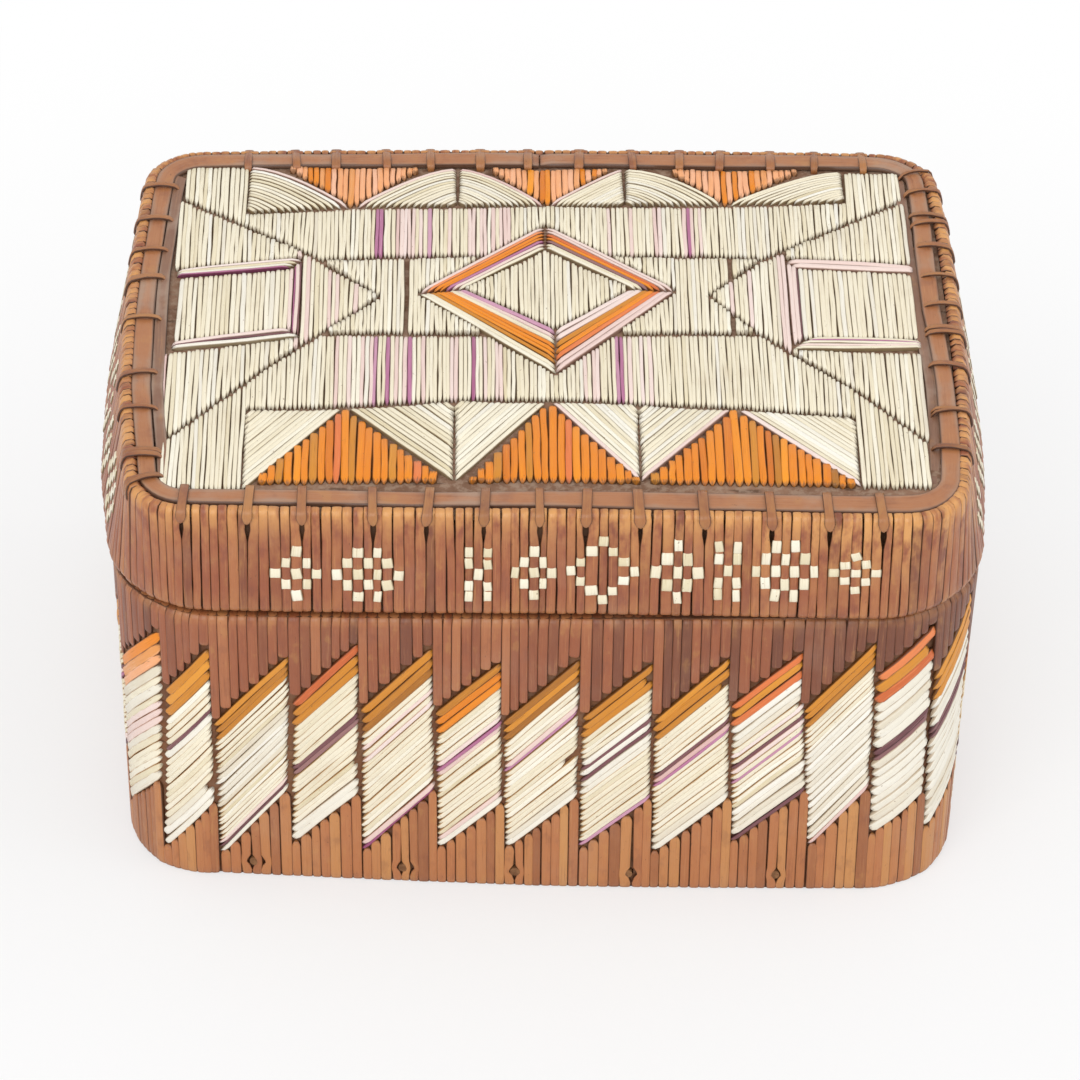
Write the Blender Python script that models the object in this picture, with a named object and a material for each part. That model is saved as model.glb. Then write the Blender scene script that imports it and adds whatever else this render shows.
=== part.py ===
"""Quill box: a birchbark box sewn with dyed quills and split root, with a lift-off lid.

Metres, +Z up. X runs along the box's width and its front faces -Y. The origin is the middle
of the rectangle that the box stands on. Every wall, hoop and band follows one outline, the
lid's outer face, set in by its own amount, so the pieces keep their fits when a size changes.
Above the lid's foot that outline draws in towards the lid's narrower top.
"""
from math import ceil, cos, floor, hypot, pi, sin

import bmesh
import bpy
import numpy as np
from mathutils import Matrix, Vector

# Outline of the lid's outer face
LID_WIDTH = 0.1928          # between the left and right faces, at their corners
LID_DEPTH = 0.1416          # between the front and back faces, at their corners
SIDE_BOW = 0.0040           # how far the left and right faces swell past their corners
FRONT_BOW = 0.0014          # how far the front and back faces swell
CORNER_RADIUS = 0.0225
TOP_DRAW_IN = 0.0039        # how much further in the left and right faces stand at the top
TOP_SIDE_BOW = 0.0016       # how far they swell there
TOP_FRONT_DRAW_IN = 0.0009  # how much further in the front and back faces stand at the top
TOP_CORNER_RADIUS = 0.0125
STATION_STEP = 0.0160       # longest straight step along a face
CORNER_STEPS = 6

# Fits between pieces
FIT = 0.0003                # gap between pieces that touch
LID_PLAY = 0.0013           # sideways room between the lid's hoop and the liner
LID_SEAT_GAP = 0.0004       # gap under the lid where it meets the body's edge

# Heights and walls of the body
BODY_HEIGHT = 0.0820        # floor to the rolled root edge under the lid
BODY_TAPER = 0.0019         # how much further in each face stands at the foot
FOOT_TUCK_LEFT = 0.0026     # how far the front's foot tucks in at its left end
FOOT_PUSH_MIDDLE = 0.0011   # how far it pushes out at its middle
FOOT_PUSH_RIGHT = 0.0031    # and round its right corner
RELIEF = 0.0008             # thickness of the quills and roots laid on the wall
WALL_THICKNESS = 0.0033     # at the wall's top; its outer face tapers in towards the foot
LINER_THICKNESS = 0.0015
LINER_RISE = 0.0190         # how far the liner stands up into the lid
BOARD_THICKNESS = 0.0095
EDGE_ROLL = 0.0008          # thickness of the root edge folded over the wall's top
EDGE_ROUND = 0.0006         # how far its outer corner is rounded off
BAND_LIFT = 0.0004          # height of the lower root band off the floor

# Pegs that hold the board
PEG_DIAMETER = 0.0024
PEG_LENGTH = 0.0120
PEG_SINK = 0.0001           # how far a peg's end lies behind the face
PEG_SIDES = 10
FRONT_PEG_PLACES = (-0.344, -0.165, -0.031, 0.104, 0.281)   # as shares of the lid's width
SIDE_PEG_PLACES = (-0.32, 0.0, 0.32)                        # as shares of the lid's depth

# Columns of slanted quills on the body
COLUMN_PITCH = 0.0169
STEP_RISE = 0.0172          # how much a column's edges climb from its left to its right
UPPER_ROOT_SHORT = 0.0110   # shortest root bar hanging from the body's edge
LOWER_ROOT_SHORT = 0.0105   # shortest root bar standing on the foot
STEP_JUMP = 0.0002          # width of the drop between two columns

# Lid
LID_RIM_HEIGHT = 0.0290
WRAP_THICKNESS = 0.0010
WRAP_GROOVE = 0.00035       # depth of the valley between two turns of root
WRAP_PITCH = 0.00235        # width of one turn of root
WRAP_FOLD = 0.0018          # how far the wrap reaches in over the lid's edge
WRAP_ROUND = 0.0009
CORE_THICKNESS = 0.0028
HOOP_WIDTH = 0.0045
HOOP_THICKNESS = 0.0013
PANEL_THICKNESS = 0.0012
LINING_THICKNESS = 0.0008

# Lashings over the lid's hoop
LASHING_WIDTH = 0.0022
LASHING_THICKNESS = 0.0007
LASHING_TAIL = 0.0030
FRONT_LOOPS = 12
FRONT_LOOP_PITCH = 0.0122
BACK_LOOPS = 14
BACK_LOOP_PITCH = 0.0104
SIDE_LOOPS = 10
SIDE_LOOP_PITCH = 0.0110

# Quill field on the lid
FIELD_MARGIN_X = 0.0122     # lid's outline to the quills, left and right
FIELD_MARGIN_Y = 0.0091     # and front and back
QUILL_THICKNESS = 0.0009
BACK_BAND = 0.0164          # depth of the band of triangles along the back
FRONT_BAND = 0.0262
CORNER_BLOCK = 0.0155       # width of the upright quills at each end of a band
END_FAN = 0.0255            # outer triangle's tip to the corner block
BACK_FAN_FOOT = 0.0111      # narrow end of a fan, between two triangles
FRONT_FAN_FOOT = 0.0047
DIAMOND_PLACE = (0.0012, 0.0080)
DIAMOND_HALF = (0.0291, 0.0282)
DIAMOND_CORE_HALF = (0.0172, 0.0154)
INSET_LENGTH = 0.0290       # from the field's side edge inwards
INSET_DEPTH = 0.0323
INSET_CENTRE_Y = 0.0062
BAR_WIDTH = 0.0036          # three quills side by side

# Places that follow from the sizes above
HALF_WIDTH = LID_WIDTH / 2
HALF_DEPTH = LID_DEPTH / 2
TOP_HALF_WIDTH = HALF_WIDTH - TOP_DRAW_IN
TOP_HALF_DEPTH = HALF_DEPTH - TOP_FRONT_DRAW_IN
FIELD_HALF_X = HALF_WIDTH - FIELD_MARGIN_X
FIELD_HALF_Y = TOP_HALF_DEPTH - FIELD_MARGIN_Y
BAND_HALF = FIELD_HALF_X - CORNER_BLOCK
TRIANGLE_SPACING = BAND_HALF - END_FAN
BACK_TRIANGLE_HALF = (TRIANGLE_SPACING - BACK_FAN_FOOT) / 2
FRONT_TRIANGLE_HALF = (TRIANGLE_SPACING - FRONT_FAN_FOOT) / 2
CORE_OUT = WRAP_THICKNESS + FIT
CORE_IN = CORE_OUT + CORE_THICKNESS
LINER_OUT = CORE_IN + LID_PLAY
LINER_IN = LINER_OUT + LINER_THICKNESS
WALL_IN = LINER_OUT - FIT
FACE_IN = WALL_IN - WALL_THICKNESS - FIT - RELIEF
HOOP_OUT = WRAP_FOLD + FIT
HOOP_IN = HOOP_OUT + HOOP_WIDTH
LID_FOOT = BODY_HEIGHT + LID_SEAT_GAP
LID_TOP = LID_FOOT + LID_RIM_HEIGHT
PANEL_TOP = LID_TOP - HOOP_THICKNESS - FIT
PANEL_FOOT = PANEL_TOP - PANEL_THICKNESS
CORE_TOP = PANEL_FOOT - LASHING_THICKNESS - 2 * FIT
CORE_FOOT = LID_FOOT + WRAP_THICKNESS + FIT
WALL_TOP = BODY_HEIGHT - EDGE_ROLL - FIT
LINER_TOP = BODY_HEIGHT + LINER_RISE
QUILL_FOOT = PANEL_TOP + FIT
QUILL_TOP = QUILL_FOOT + QUILL_THICKNESS
PERIMETER = 4 * (HALF_WIDTH + HALF_DEPTH - 2 * CORNER_RADIUS) + 2 * pi * CORNER_RADIUS
COLUMN_COUNT = round(PERIMETER / COLUMN_PITCH)
COLUMN = PERIMETER / COLUMN_COUNT

# Base colour and roughness of each finish
FINISHES = {
    "bark": ((0.30, 0.20, 0.14), 0.80),
    "liner_bark": ((0.52, 0.36, 0.22), 0.75),
    "pine": ((0.55, 0.40, 0.24), 0.70),
    "peg": ((0.50, 0.36, 0.22), 0.65),
    "root": ((0.36, 0.16, 0.07), 0.50),
    "pale_root": ((0.42, 0.22, 0.10), 0.50),
    "cream": ((0.78, 0.72, 0.54), 0.40),
    "white": ((0.85, 0.82, 0.74), 0.40),
    "orange": ((0.87, 0.29, 0.02), 0.40),
    "faded_orange": ((0.76, 0.28, 0.13), 0.42),
    "pink": ((0.66, 0.34, 0.42), 0.42),
}


def clear_scene():
    """Remove whatever the file holds already."""
    for old in list(bpy.data.objects):
        bpy.data.objects.remove(old, do_unlink=True)


def plain_outline(distance, half_width=HALF_WIDTH, half_depth=HALF_DEPTH, radius=CORNER_RADIUS):
    """Point and outward normal of the unbowed outline, a rectangle with round corners.

    The distance runs from the middle of the front towards +X, and on round the back. It is
    measured on the lid's foot. Another width, depth or radius gives the matching point on a
    rectangle of that size with such corners.
    """
    foot_runs = (HALF_WIDTH - CORNER_RADIUS, HALF_DEPTH - CORNER_RADIUS)
    runs = (half_width - radius, half_depth - radius)
    arc = pi * CORNER_RADIUS / 2
    left = (distance + foot_runs[0]) % PERIMETER
    for quarter in range(4):
        foot_along = foot_runs[quarter % 2]
        along, across = runs[quarter % 2], runs[1 - quarter % 2]
        turn = quarter * pi / 2
        normal = Vector((sin(turn), -cos(turn)))
        tangent = Vector((cos(turn), sin(turn)))
        middle = normal * (across + radius)
        if left <= 2 * foot_along:
            return middle + tangent * (left - foot_along) * along / foot_along, normal
        left -= 2 * foot_along
        if left <= arc or quarter == 3:
            angle = turn + left / CORNER_RADIUS
            normal_here = Vector((sin(angle), -cos(angle)))
            corner = normal * across + tangent * along
            return corner + normal_here * radius, normal_here
        left -= arc
    return middle, normal


def foot_push(distance):
    """How far the face pushes out at the floor, where the front stands askew to the lid."""
    run_x = HALF_WIDTH - CORNER_RADIUS
    arc = pi * CORNER_RADIUS / 2
    places = (-run_x - arc / 2, -run_x, 0.0, run_x + arc / 2, run_x + arc)
    pushes = (0.0, -FOOT_TUCK_LEFT, FOOT_PUSH_MIDDLE, FOOT_PUSH_RIGHT, 0.0)
    at = (distance + PERIMETER / 2) % PERIMETER - PERIMETER / 2
    return float(np.interp(at, places, pushes))


def bowed_outline(distance, height=0.0):
    """Point of the lid's outer face, or below it of the face that the lid's foot stands on."""
    share = min(1.0, max(0.0, (height - LID_FOOT) / LID_RIM_HEIGHT))
    push = foot_push(distance) * max(0.0, 1 - height / LID_FOOT)
    spots = []
    for half_width, half_depth, radius, side_bow in (
            (HALF_WIDTH, HALF_DEPTH, CORNER_RADIUS, SIDE_BOW),
            (TOP_HALF_WIDTH, TOP_HALF_DEPTH, TOP_CORNER_RADIUS, TOP_SIDE_BOW)):
        point, normal = plain_outline(distance, half_width, half_depth, radius)
        swell_x = side_bow * max(0.0, 1 - (point.y / half_depth) ** 2)
        swell_y = FRONT_BOW * max(0.0, 1 - (point.x / half_width) ** 2)
        spots.append(Vector((point.x + normal.x * (swell_x + push),
                             point.y + normal.y * (swell_y + push))))
    return spots[0].lerp(spots[1], share)


def outline_frame(distance, height=0.0):
    """Point, outward normal and tangent of the outline at a height."""
    step = CORNER_RADIUS / 100
    ahead = bowed_outline(distance + step, height) - bowed_outline(distance - step, height)
    tangent = ahead.normalized()
    return bowed_outline(distance, height), Vector((tangent.y, -tangent.x)), tangent


def place(distance, inset, height, sideways=0.0):
    """Point set in from the outline, at a height, and shifted along the tangent."""
    point, normal, tangent = outline_frame(distance, height)
    flat = point - normal * inset + tangent * sideways
    return Vector((flat.x, flat.y, height))


def stations():
    """Distances at which every plain ring has its points, so that neighbours stay parallel."""
    run_x = HALF_WIDTH - CORNER_RADIUS
    run_y = HALF_DEPTH - CORNER_RADIUS
    arc = pi * CORNER_RADIUS / 2
    found = []
    start = -run_x
    for run in (run_x, run_y, run_x, run_y):
        pieces = ceil(2 * run / STATION_STEP)
        found += [start + 2 * run * i / pieces for i in range(pieces)]
        start += 2 * run
        found += [start + arc * i / CORNER_STEPS for i in range(CORNER_STEPS)]
        start += arc
    return found


def side_middle(side):
    """Distance of the middle of a face."""
    run_x = HALF_WIDTH - CORNER_RADIUS
    run_y = HALF_DEPTH - CORNER_RADIUS
    arc = pi * CORNER_RADIUS / 2
    return {"front": 0.0, "right": run_x + arc + run_y, "back": PERIMETER / 2,
            "left": -(run_x + arc + run_y)}[side]


def face_inset(height):
    """Inset of the body's quilled face, which tapers in towards the foot."""
    return FACE_IN + BODY_TAPER * (1 - height / BODY_HEIGHT)


def make_object(name, bm, finish, parent=None):
    """Turn a bmesh into a named object with its own material."""
    bmesh.ops.remove_doubles(bm, verts=bm.verts, dist=1e-6)
    bmesh.ops.recalc_face_normals(bm, faces=bm.faces)
    mesh = bpy.data.meshes.new(name)
    bm.to_mesh(mesh)
    bm.free()
    return add_object(name, mesh, finish, parent)


def add_object(name, mesh, finish, parent=None):
    """Link an object that shows a mesh, with a material of its own."""
    thing = bpy.data.objects.new(name, mesh)
    bpy.context.scene.collection.objects.link(thing)
    if finish:
        colour, roughness = FINISHES[finish]
        material = bpy.data.materials.new(name)
        material.use_nodes = True
        shader = material.node_tree.nodes["Principled BSDF"]
        shader.inputs["Base Color"].default_value = (*colour, 1.0)
        shader.inputs["Roughness"].default_value = roughness
        shader.inputs["Metallic"].default_value = 0.0
        material.diffuse_color = (*colour, 1.0)
        if not mesh.materials:
            mesh.materials.append(None)
        thing.material_slots[0].link = "OBJECT"
        thing.material_slots[0].material = material
    if parent:
        thing.parent = parent
        thing.matrix_parent_inverse = Matrix.Translation(-parent.location)
    return thing


def make_cutter(name, bm):
    """Guide object that only cuts others."""
    cutter = make_object(name, bm, None)
    cutter.hide_render = True
    cutter.display_type = "WIRE"
    return cutter


def cut(thing, cutter):
    """Subtract a cutter from an object."""
    boolean = thing.modifiers.new("cut_" + cutter.name, "BOOLEAN")
    boolean.operation = "DIFFERENCE"
    boolean.solver = "EXACT"
    boolean.object = cutter


def add_loop(bm, points):
    """Add a row of vertices."""
    return [bm.verts.new(point) for point in points]


def bridge_rows(bm, row_a, row_b, closed):
    """Join two rows of vertices that have the same length with quads."""
    count = len(row_a)
    for i in range(count if closed else count - 1):
        j = (i + 1) % count
        bm.faces.new((row_a[i], row_a[j], row_b[j], row_b[i]))


def add_band(bm, distances, section, closed):
    """Sweep a section round the outline.

    The section is a function of the distance that gives (inset, height) corners in order.
    """
    columns = [add_loop(bm, [place(d, inset, height) for inset, height in section(d)])
               for d in distances]
    rows = [list(row) for row in zip(*columns)]
    for row_a, row_b in zip(rows, rows[1:] + rows[:1]):
        bridge_rows(bm, row_a, row_b, closed)
    if not closed:
        bm.faces.new(columns[0])
        bm.faces.new(columns[-1])


def plain_ring(name, section, finish, parent=None):
    """Closed ring whose section is the same all the way round."""
    bm = bmesh.new()
    add_band(bm, stations(), lambda distance: section, closed=True)
    return make_object(name, bm, finish, parent)


def plate(name, inset, foot, top, finish, parent=None):
    """Flat plate that follows the outline."""
    bm = bmesh.new()
    low = add_loop(bm, [place(d, inset, foot) for d in stations()])
    high = add_loop(bm, [place(d, inset, top) for d in stations()])
    bridge_rows(bm, low, high, closed=True)
    bm.faces.new(low)
    bm.faces.new(high)
    return make_object(name, bm, finish, parent)


def add_prism(bm, corners, foot, top):
    """Upright prism over a flat polygon."""
    low = add_loop(bm, [(x, y, foot) for x, y in corners])
    high = add_loop(bm, [(x, y, top) for x, y in corners])
    bridge_rows(bm, low, high, closed=True)
    bm.faces.new(low)
    bm.faces.new(high)


def grow(corners, amount):
    """Move the edges of a convex counter-clockwise polygon outwards."""
    lines = []
    for (ax, ay), (bx, by) in zip(corners, corners[1:] + corners[:1]):
        along = Vector((bx - ax, by - ay)).normalized()
        out = Vector((along.y, -along.x))
        lines.append((out, out.x * ax + out.y * ay + amount))
    grown = []
    for (na, ca), (nb, cb) in zip(lines[-1:] + lines[:-1], lines):
        det = na.x * nb.y - na.y * nb.x
        grown.append(((ca * nb.y - cb * na.y) / det, (na.x * cb - nb.x * ca) / det))
    return grown


def add_block(bm, distance, inset_span, width, height_span):
    """Box set square to the outline at a distance."""
    near, far = inset_span
    foot, top = height_span
    corners = [(near, -width / 2), (near, width / 2), (far, width / 2), (far, -width / 2)]
    low = add_loop(bm, [place(distance, inset, foot, side) for inset, side in corners])
    high = add_loop(bm, [place(distance, inset, top, side) for inset, side in corners])
    bridge_rows(bm, low, high, closed=True)
    bm.faces.new(low)
    bm.faces.new(high)


# Body
def saw(distance, low, shift):
    """Height of a stepped edge: it climbs along each column and drops back at its end."""
    across = (distance - COLUMN / 2 - shift) % COLUMN
    if across > COLUMN - STEP_JUMP:
        return low + STEP_RISE * (COLUMN - across) / STEP_JUMP
    return low + STEP_RISE * across / (COLUMN - STEP_JUMP)


# Root bars and quills stand either side of a seam of one fit's width, and apart along the slant.
AFTER_SEAM = FIT / 2 + STEP_JUMP
BEFORE_SEAM = -FIT / 2
SLANT = STEP_RISE / (COLUMN - STEP_JUMP)
SLANT_GAP = FIT * hypot(1.0, SLANT) + SLANT * (AFTER_SEAM - BEFORE_SEAM)


def band_distances(start, end, shifts):
    """Distances for a stepped band: each seam's two ends, and the plain stations between."""
    seams = []
    for seam in range(-COLUMN_COUNT, 2 * COLUMN_COUNT):
        for shift in shifts:
            bottom = (seam + 0.5) * COLUMN + shift
            seams += [bottom - STEP_JUMP, bottom]
    found = [start] + [d for d in seams if start < d < end]
    laps = [d + PERIMETER * lap for d in stations() for lap in (-1, 0, 1)]
    for distance in laps:
        if start < distance < end and min(abs(distance - d) for d in found) > STEP_JUMP:
            found.append(distance)
    return sorted(found)


def build_upper_root_band():
    """Root bars under the lid, rolled over the wall's top edge."""
    hang = BODY_HEIGHT - UPPER_ROOT_SHORT - STEP_RISE
    face = face_inset(BODY_HEIGHT)

    def section(distance):
        foot = saw(distance, hang, AFTER_SEAM)
        return [(face_inset(foot), foot),
                (face, BODY_HEIGHT - EDGE_ROUND),
                (face + EDGE_ROUND, BODY_HEIGHT),
                (WALL_IN, BODY_HEIGHT),
                (WALL_IN, WALL_TOP + FIT),
                (face + RELIEF, WALL_TOP + FIT),
                (face_inset(foot) + RELIEF, foot)]

    bm = bmesh.new()
    distances = band_distances(0.0, PERIMETER, (AFTER_SEAM,))
    add_band(bm, distances, section, closed=True)
    return make_object("body_root_band_upper", bm, "root")


def build_lower_root_band(peg_cutter):
    """Root bars standing round the foot, pierced by the pegs."""
    def section(distance):
        top = saw(distance, LOWER_ROOT_SHORT, BEFORE_SEAM)
        return [(face_inset(BAND_LIFT), BAND_LIFT),
                (face_inset(top), top),
                (face_inset(top) + RELIEF, top),
                (face_inset(BAND_LIFT) + RELIEF, BAND_LIFT)]

    bm = bmesh.new()
    add_band(bm, band_distances(0.0, PERIMETER, (BEFORE_SEAM,)), section, closed=True)
    band = make_object("body_root_band_lower", bm, "root")
    cut(band, peg_cutter)


def build_quill_bands():
    """Slanted columns of quills between the root bands, one node for each face."""
    low_top = BODY_HEIGHT - UPPER_ROOT_SHORT - STEP_RISE - SLANT_GAP

    def section(distance):
        top = saw(distance, low_top, BEFORE_SEAM)
        foot = saw(distance, LOWER_ROOT_SHORT + SLANT_GAP, AFTER_SEAM)
        return [(face_inset(foot), foot),
                (face_inset(top), top),
                (face_inset(top) + RELIEF, top),
                (face_inset(foot) + RELIEF, foot)]

    corner = (HALF_WIDTH - CORNER_RADIUS) + pi * CORNER_RADIUS / 4
    front_half = (floor(corner / COLUMN) + 0.5) * COLUMN
    edges = [-front_half, front_half, PERIMETER / 2 - front_half, PERIMETER / 2 + front_half,
             PERIMETER - front_half]
    for side, start, end in zip(("front", "right", "back", "left"), edges, edges[1:]):
        bm = bmesh.new()
        first = start + AFTER_SEAM + STEP_JUMP
        last = end - AFTER_SEAM - STEP_JUMP
        distances = band_distances(first, last, (BEFORE_SEAM, AFTER_SEAM)) + [last]
        add_band(bm, distances, section, closed=False)
        make_object("body_quills_" + side, bm, "cream")


def peg_places():
    """Name and distance of each peg."""
    found = []
    for side in ("front", "back", "left", "right"):
        shares = FRONT_PEG_PLACES if side in ("front", "back") else SIDE_PEG_PLACES
        span = LID_WIDTH if side in ("front", "back") else LID_DEPTH
        for number, share in enumerate(shares, 1):
            found.append((f"peg_{side}_{number}", side_middle(side) + share * span))
    return found


def add_rod(bm, distance, radius, near, length, height):
    """Round rod that runs in from the outline, square to it."""
    _, normal, _ = outline_frame(distance)
    outward = Vector((normal.x, normal.y, 0.0))
    turn = outward.to_track_quat("Z", "Y").to_matrix().to_4x4()
    middle = place(distance, near + length / 2, height)
    bmesh.ops.create_cone(bm, cap_ends=True, segments=PEG_SIDES, radius1=radius,
                          radius2=radius, depth=length, matrix=Matrix.Translation(middle) @ turn)


def build_pegs():
    """Whittled pegs, all alike, and the cutter for their holes."""
    height = BOARD_THICKNESS / 2
    near = face_inset(height) + PEG_SINK
    bm = bmesh.new()
    bmesh.ops.create_cone(bm, cap_ends=True, segments=PEG_SIDES, radius1=PEG_DIAMETER * 0.4,
                          radius2=PEG_DIAMETER / 2, depth=PEG_LENGTH)
    mesh = bpy.data.meshes.new("peg")
    bm.to_mesh(mesh)
    bm.free()
    holes = bmesh.new()
    for name, distance in peg_places():
        _, normal, _ = outline_frame(distance)
        outward = Vector((normal.x, normal.y, 0.0))
        peg = add_object(name, mesh, "peg")
        peg.location = place(distance, near + PEG_LENGTH / 2, height)
        peg.rotation_euler = outward.to_track_quat("Z", "Y").to_euler()
        add_rod(holes, distance, PEG_DIAMETER / 2 + FIT, near - WALL_THICKNESS,
                PEG_LENGTH + WALL_THICKNESS + FIT, height)
    return make_cutter("peg_holes", holes)


def upright(inset_low, inset_high, low, high):
    """Rows of an upright face, split at the heights that all walls of the body share."""
    heights = [low] + [h for h in (WALL_TOP / 3, WALL_TOP * 2 / 3) if low < h < high] + [high]
    return [(inset_low + (inset_high - inset_low) * (h - low) / (high - low), h)
            for h in heights]


def build_body():
    """Board, walls, root bands and quills of the box's body."""
    peg_cutter = build_pegs()
    board = plate("base_board", WALL_IN + FIT, 0.0, BOARD_THICKNESS, "pine")
    cut(board, peg_cutter)
    out_foot = face_inset(0.0) + RELIEF + FIT
    out_top = face_inset(WALL_TOP) + RELIEF + FIT
    wall = plain_ring("body_wall", upright(out_foot, out_top, 0.0, WALL_TOP)
                      + upright(WALL_IN, WALL_IN, 0.0, WALL_TOP)[::-1], "bark")
    cut(wall, peg_cutter)
    liner_foot = BOARD_THICKNESS + FIT
    plain_ring("body_liner", upright(LINER_OUT, LINER_OUT, liner_foot, LID_FOOT)
               + [(LINER_OUT, LINER_TOP), (LINER_IN, LINER_TOP)]
               + upright(LINER_IN, LINER_IN, liner_foot, LID_FOOT)[::-1], "liner_bark")
    build_upper_root_band()
    build_lower_root_band(peg_cutter)
    build_quill_bands()


# Lid
def lashing_height():
    """Middle height of a lashing where it runs between the hoop's core and the panel."""
    return CORE_TOP + FIT + LASHING_THICKNESS / 2


def loop_corners():
    """Corners of one loop, as (inset, height) of its inner and outer faces."""
    half = LASHING_THICKNESS / 2
    inner_leg = HOOP_IN + FIT + half
    outer_leg = -FIT - half
    under = lashing_height()
    over = LID_TOP + FIT + half
    through = CORE_OUT + FIT + half
    bend = LASHING_THICKNESS
    return [((inner_leg - half, under + half), (inner_leg + half, under - half)),
            ((inner_leg - half, over - half), (inner_leg + half, over + half)),
            ((outer_leg + half + bend, over - half), (outer_leg + bend, over + half)),
            ((outer_leg + half, over - half - bend / 2), (outer_leg - half, over - bend)),
            ((outer_leg + half, under + half), (outer_leg - half, under - half)),
            ((through, under + half), (through, under - half))]


def build_lashing(side, loops, pitch, lid):
    """One unbroken strand of flat root that winds over the hoop along a face."""
    middle = side_middle(side)
    corners = loop_corners()
    half = LASHING_THICKNESS / 2
    under = lashing_height()
    tail_start = corners[0][0][0] - LASHING_TAIL
    tail_end = corners[-1][0][0] + LASHING_TAIL
    path = [(0, (tail_start, under + half), (tail_start, under - half))]
    path += [(turn, inner, outer) for turn in range(loops) for inner, outer in corners]
    path.append((loops - 1, (tail_end, under + half), (tail_end, under - half)))
    bm = bmesh.new()
    rings = []
    for turn, inner, outer in path:
        distance = middle + (turn - (loops - 1) / 2) * pitch
        wide = LASHING_WIDTH / 2
        rings.append(add_loop(bm, [place(distance, *inner, -wide), place(distance, *inner, wide),
                                   place(distance, *outer, wide),
                                   place(distance, *outer, -wide)]))
    for ring_a, ring_b in zip(rings, rings[1:]):
        bridge_rows(bm, ring_a, ring_b, closed=True)
    bm.faces.new(rings[0])
    bm.faces.new(rings[-1])
    make_object("lid_lashing_" + side, bm, "pale_root", lid)
    print("lid_lashing_" + side, loops, "loops, least gap to itself",
          round(1000 * least_gap(middle, loops, pitch), 2), "mm")


def least_gap(middle, loops, pitch):
    """Least gap between the edges of two neighbouring loops, measured on their points."""
    edges = {-1: [], 1: []}
    for edge, found in edges.items():
        for turn in range(loops):
            distance = middle + (turn - (loops - 1) / 2) * pitch
            found.append([place(distance, *inner, edge * LASHING_WIDTH / 2)
                          for inner, _ in loop_corners()])
    right = np.array(edges[1])[:-1]
    left = np.array(edges[-1])[1:]
    apart = np.linalg.norm(right[:, :, None, :] - left[:, None, :, :], axis=3)
    return float(apart.min())


def lashing_places():
    """Distance of every loop of every lashing."""
    runs = (("front", FRONT_LOOPS, FRONT_LOOP_PITCH), ("right", SIDE_LOOPS, SIDE_LOOP_PITCH),
            ("back", BACK_LOOPS, BACK_LOOP_PITCH), ("left", SIDE_LOOPS, SIDE_LOOP_PITCH))
    return [(side, [side_middle(side) + (turn - (loops - 1) / 2) * pitch
                    for turn in range(loops)], loops, pitch) for side, loops, pitch in runs]


def slot_cutter(name, inset_span, height_span):
    """Cutter with one slot for each loop of the lashings."""
    bm = bmesh.new()
    for _, distances, _, _ in lashing_places():
        for distance in distances:
            add_block(bm, distance, inset_span, LASHING_WIDTH + 2 * FIT, height_span)
    return make_cutter(name, bm)


def build_wrap(lid):
    """Root wound closely round the rim, as a ribbed sleeve that folds over the lid's edge."""
    plain = stations()
    bm = bmesh.new()
    fine, marks = [], []
    for start, end in zip(plain, plain[1:] + [plain[0] + PERIMETER]):
        steps = 2 * max(1, round((end - start) / WRAP_PITCH))
        marks.append(len(fine))
        fine += [start + (end - start) * i / steps for i in range(steps)]
    grooves = [WRAP_GROOVE if i % 2 == 0 else 0.0 for i in range(len(fine))]
    foot = add_loop(bm, [place(d, g, LID_FOOT) for d, g in zip(fine, grooves)])
    shoulder = add_loop(bm, [place(d, g, LID_TOP - WRAP_ROUND) for d, g in zip(fine, grooves)])
    crest = add_loop(bm, [place(d, g + WRAP_ROUND * 0.6, LID_TOP) for d, g in zip(fine, grooves)])
    bridge_rows(bm, foot, shoulder, closed=True)
    bridge_rows(bm, shoulder, crest, closed=True)
    ledge = LID_FOOT + WRAP_THICKNESS
    corners = [(WRAP_FOLD, LID_TOP), (WRAP_FOLD, PANEL_TOP + FIT),
               (WRAP_THICKNESS, PANEL_TOP + FIT), (WRAP_THICKNESS, ledge), (CORE_IN, ledge),
               (CORE_IN, LID_FOOT)]
    rows = [add_loop(bm, [place(d, inset, height) for d in plain]) for inset, height in corners]
    for row_a, row_b in zip(rows, rows[1:]):
        bridge_rows(bm, row_a, row_b, closed=True)
    for fine_row, plain_row in ((crest, rows[0]), (foot, rows[-1])):
        for i, mark in enumerate(marks):
            last = marks[i + 1] if i + 1 < len(marks) else len(fine)
            chain = [fine_row[k % len(fine)] for k in range(mark, last + 1)]
            after = plain_row[(i + 1) % len(plain_row)]
            bm.faces.new(chain + [after, plain_row[i]])
    wrap = make_object("lid_rim_wrap", bm, "root", lid)
    half = LASHING_THICKNESS / 2 + FIT
    level = lashing_height()
    cut(wrap, slot_cutter("wrap_slots", (-WRAP_THICKNESS, CORE_OUT), (level - half, level + half)))


def polygon_slab(name, corners, finish, lid):
    """Patch of quills laid on the lid."""
    bm = bmesh.new()
    add_prism(bm, corners, QUILL_FOOT, QUILL_TOP)
    return make_object(name, bm, finish, lid)


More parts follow.
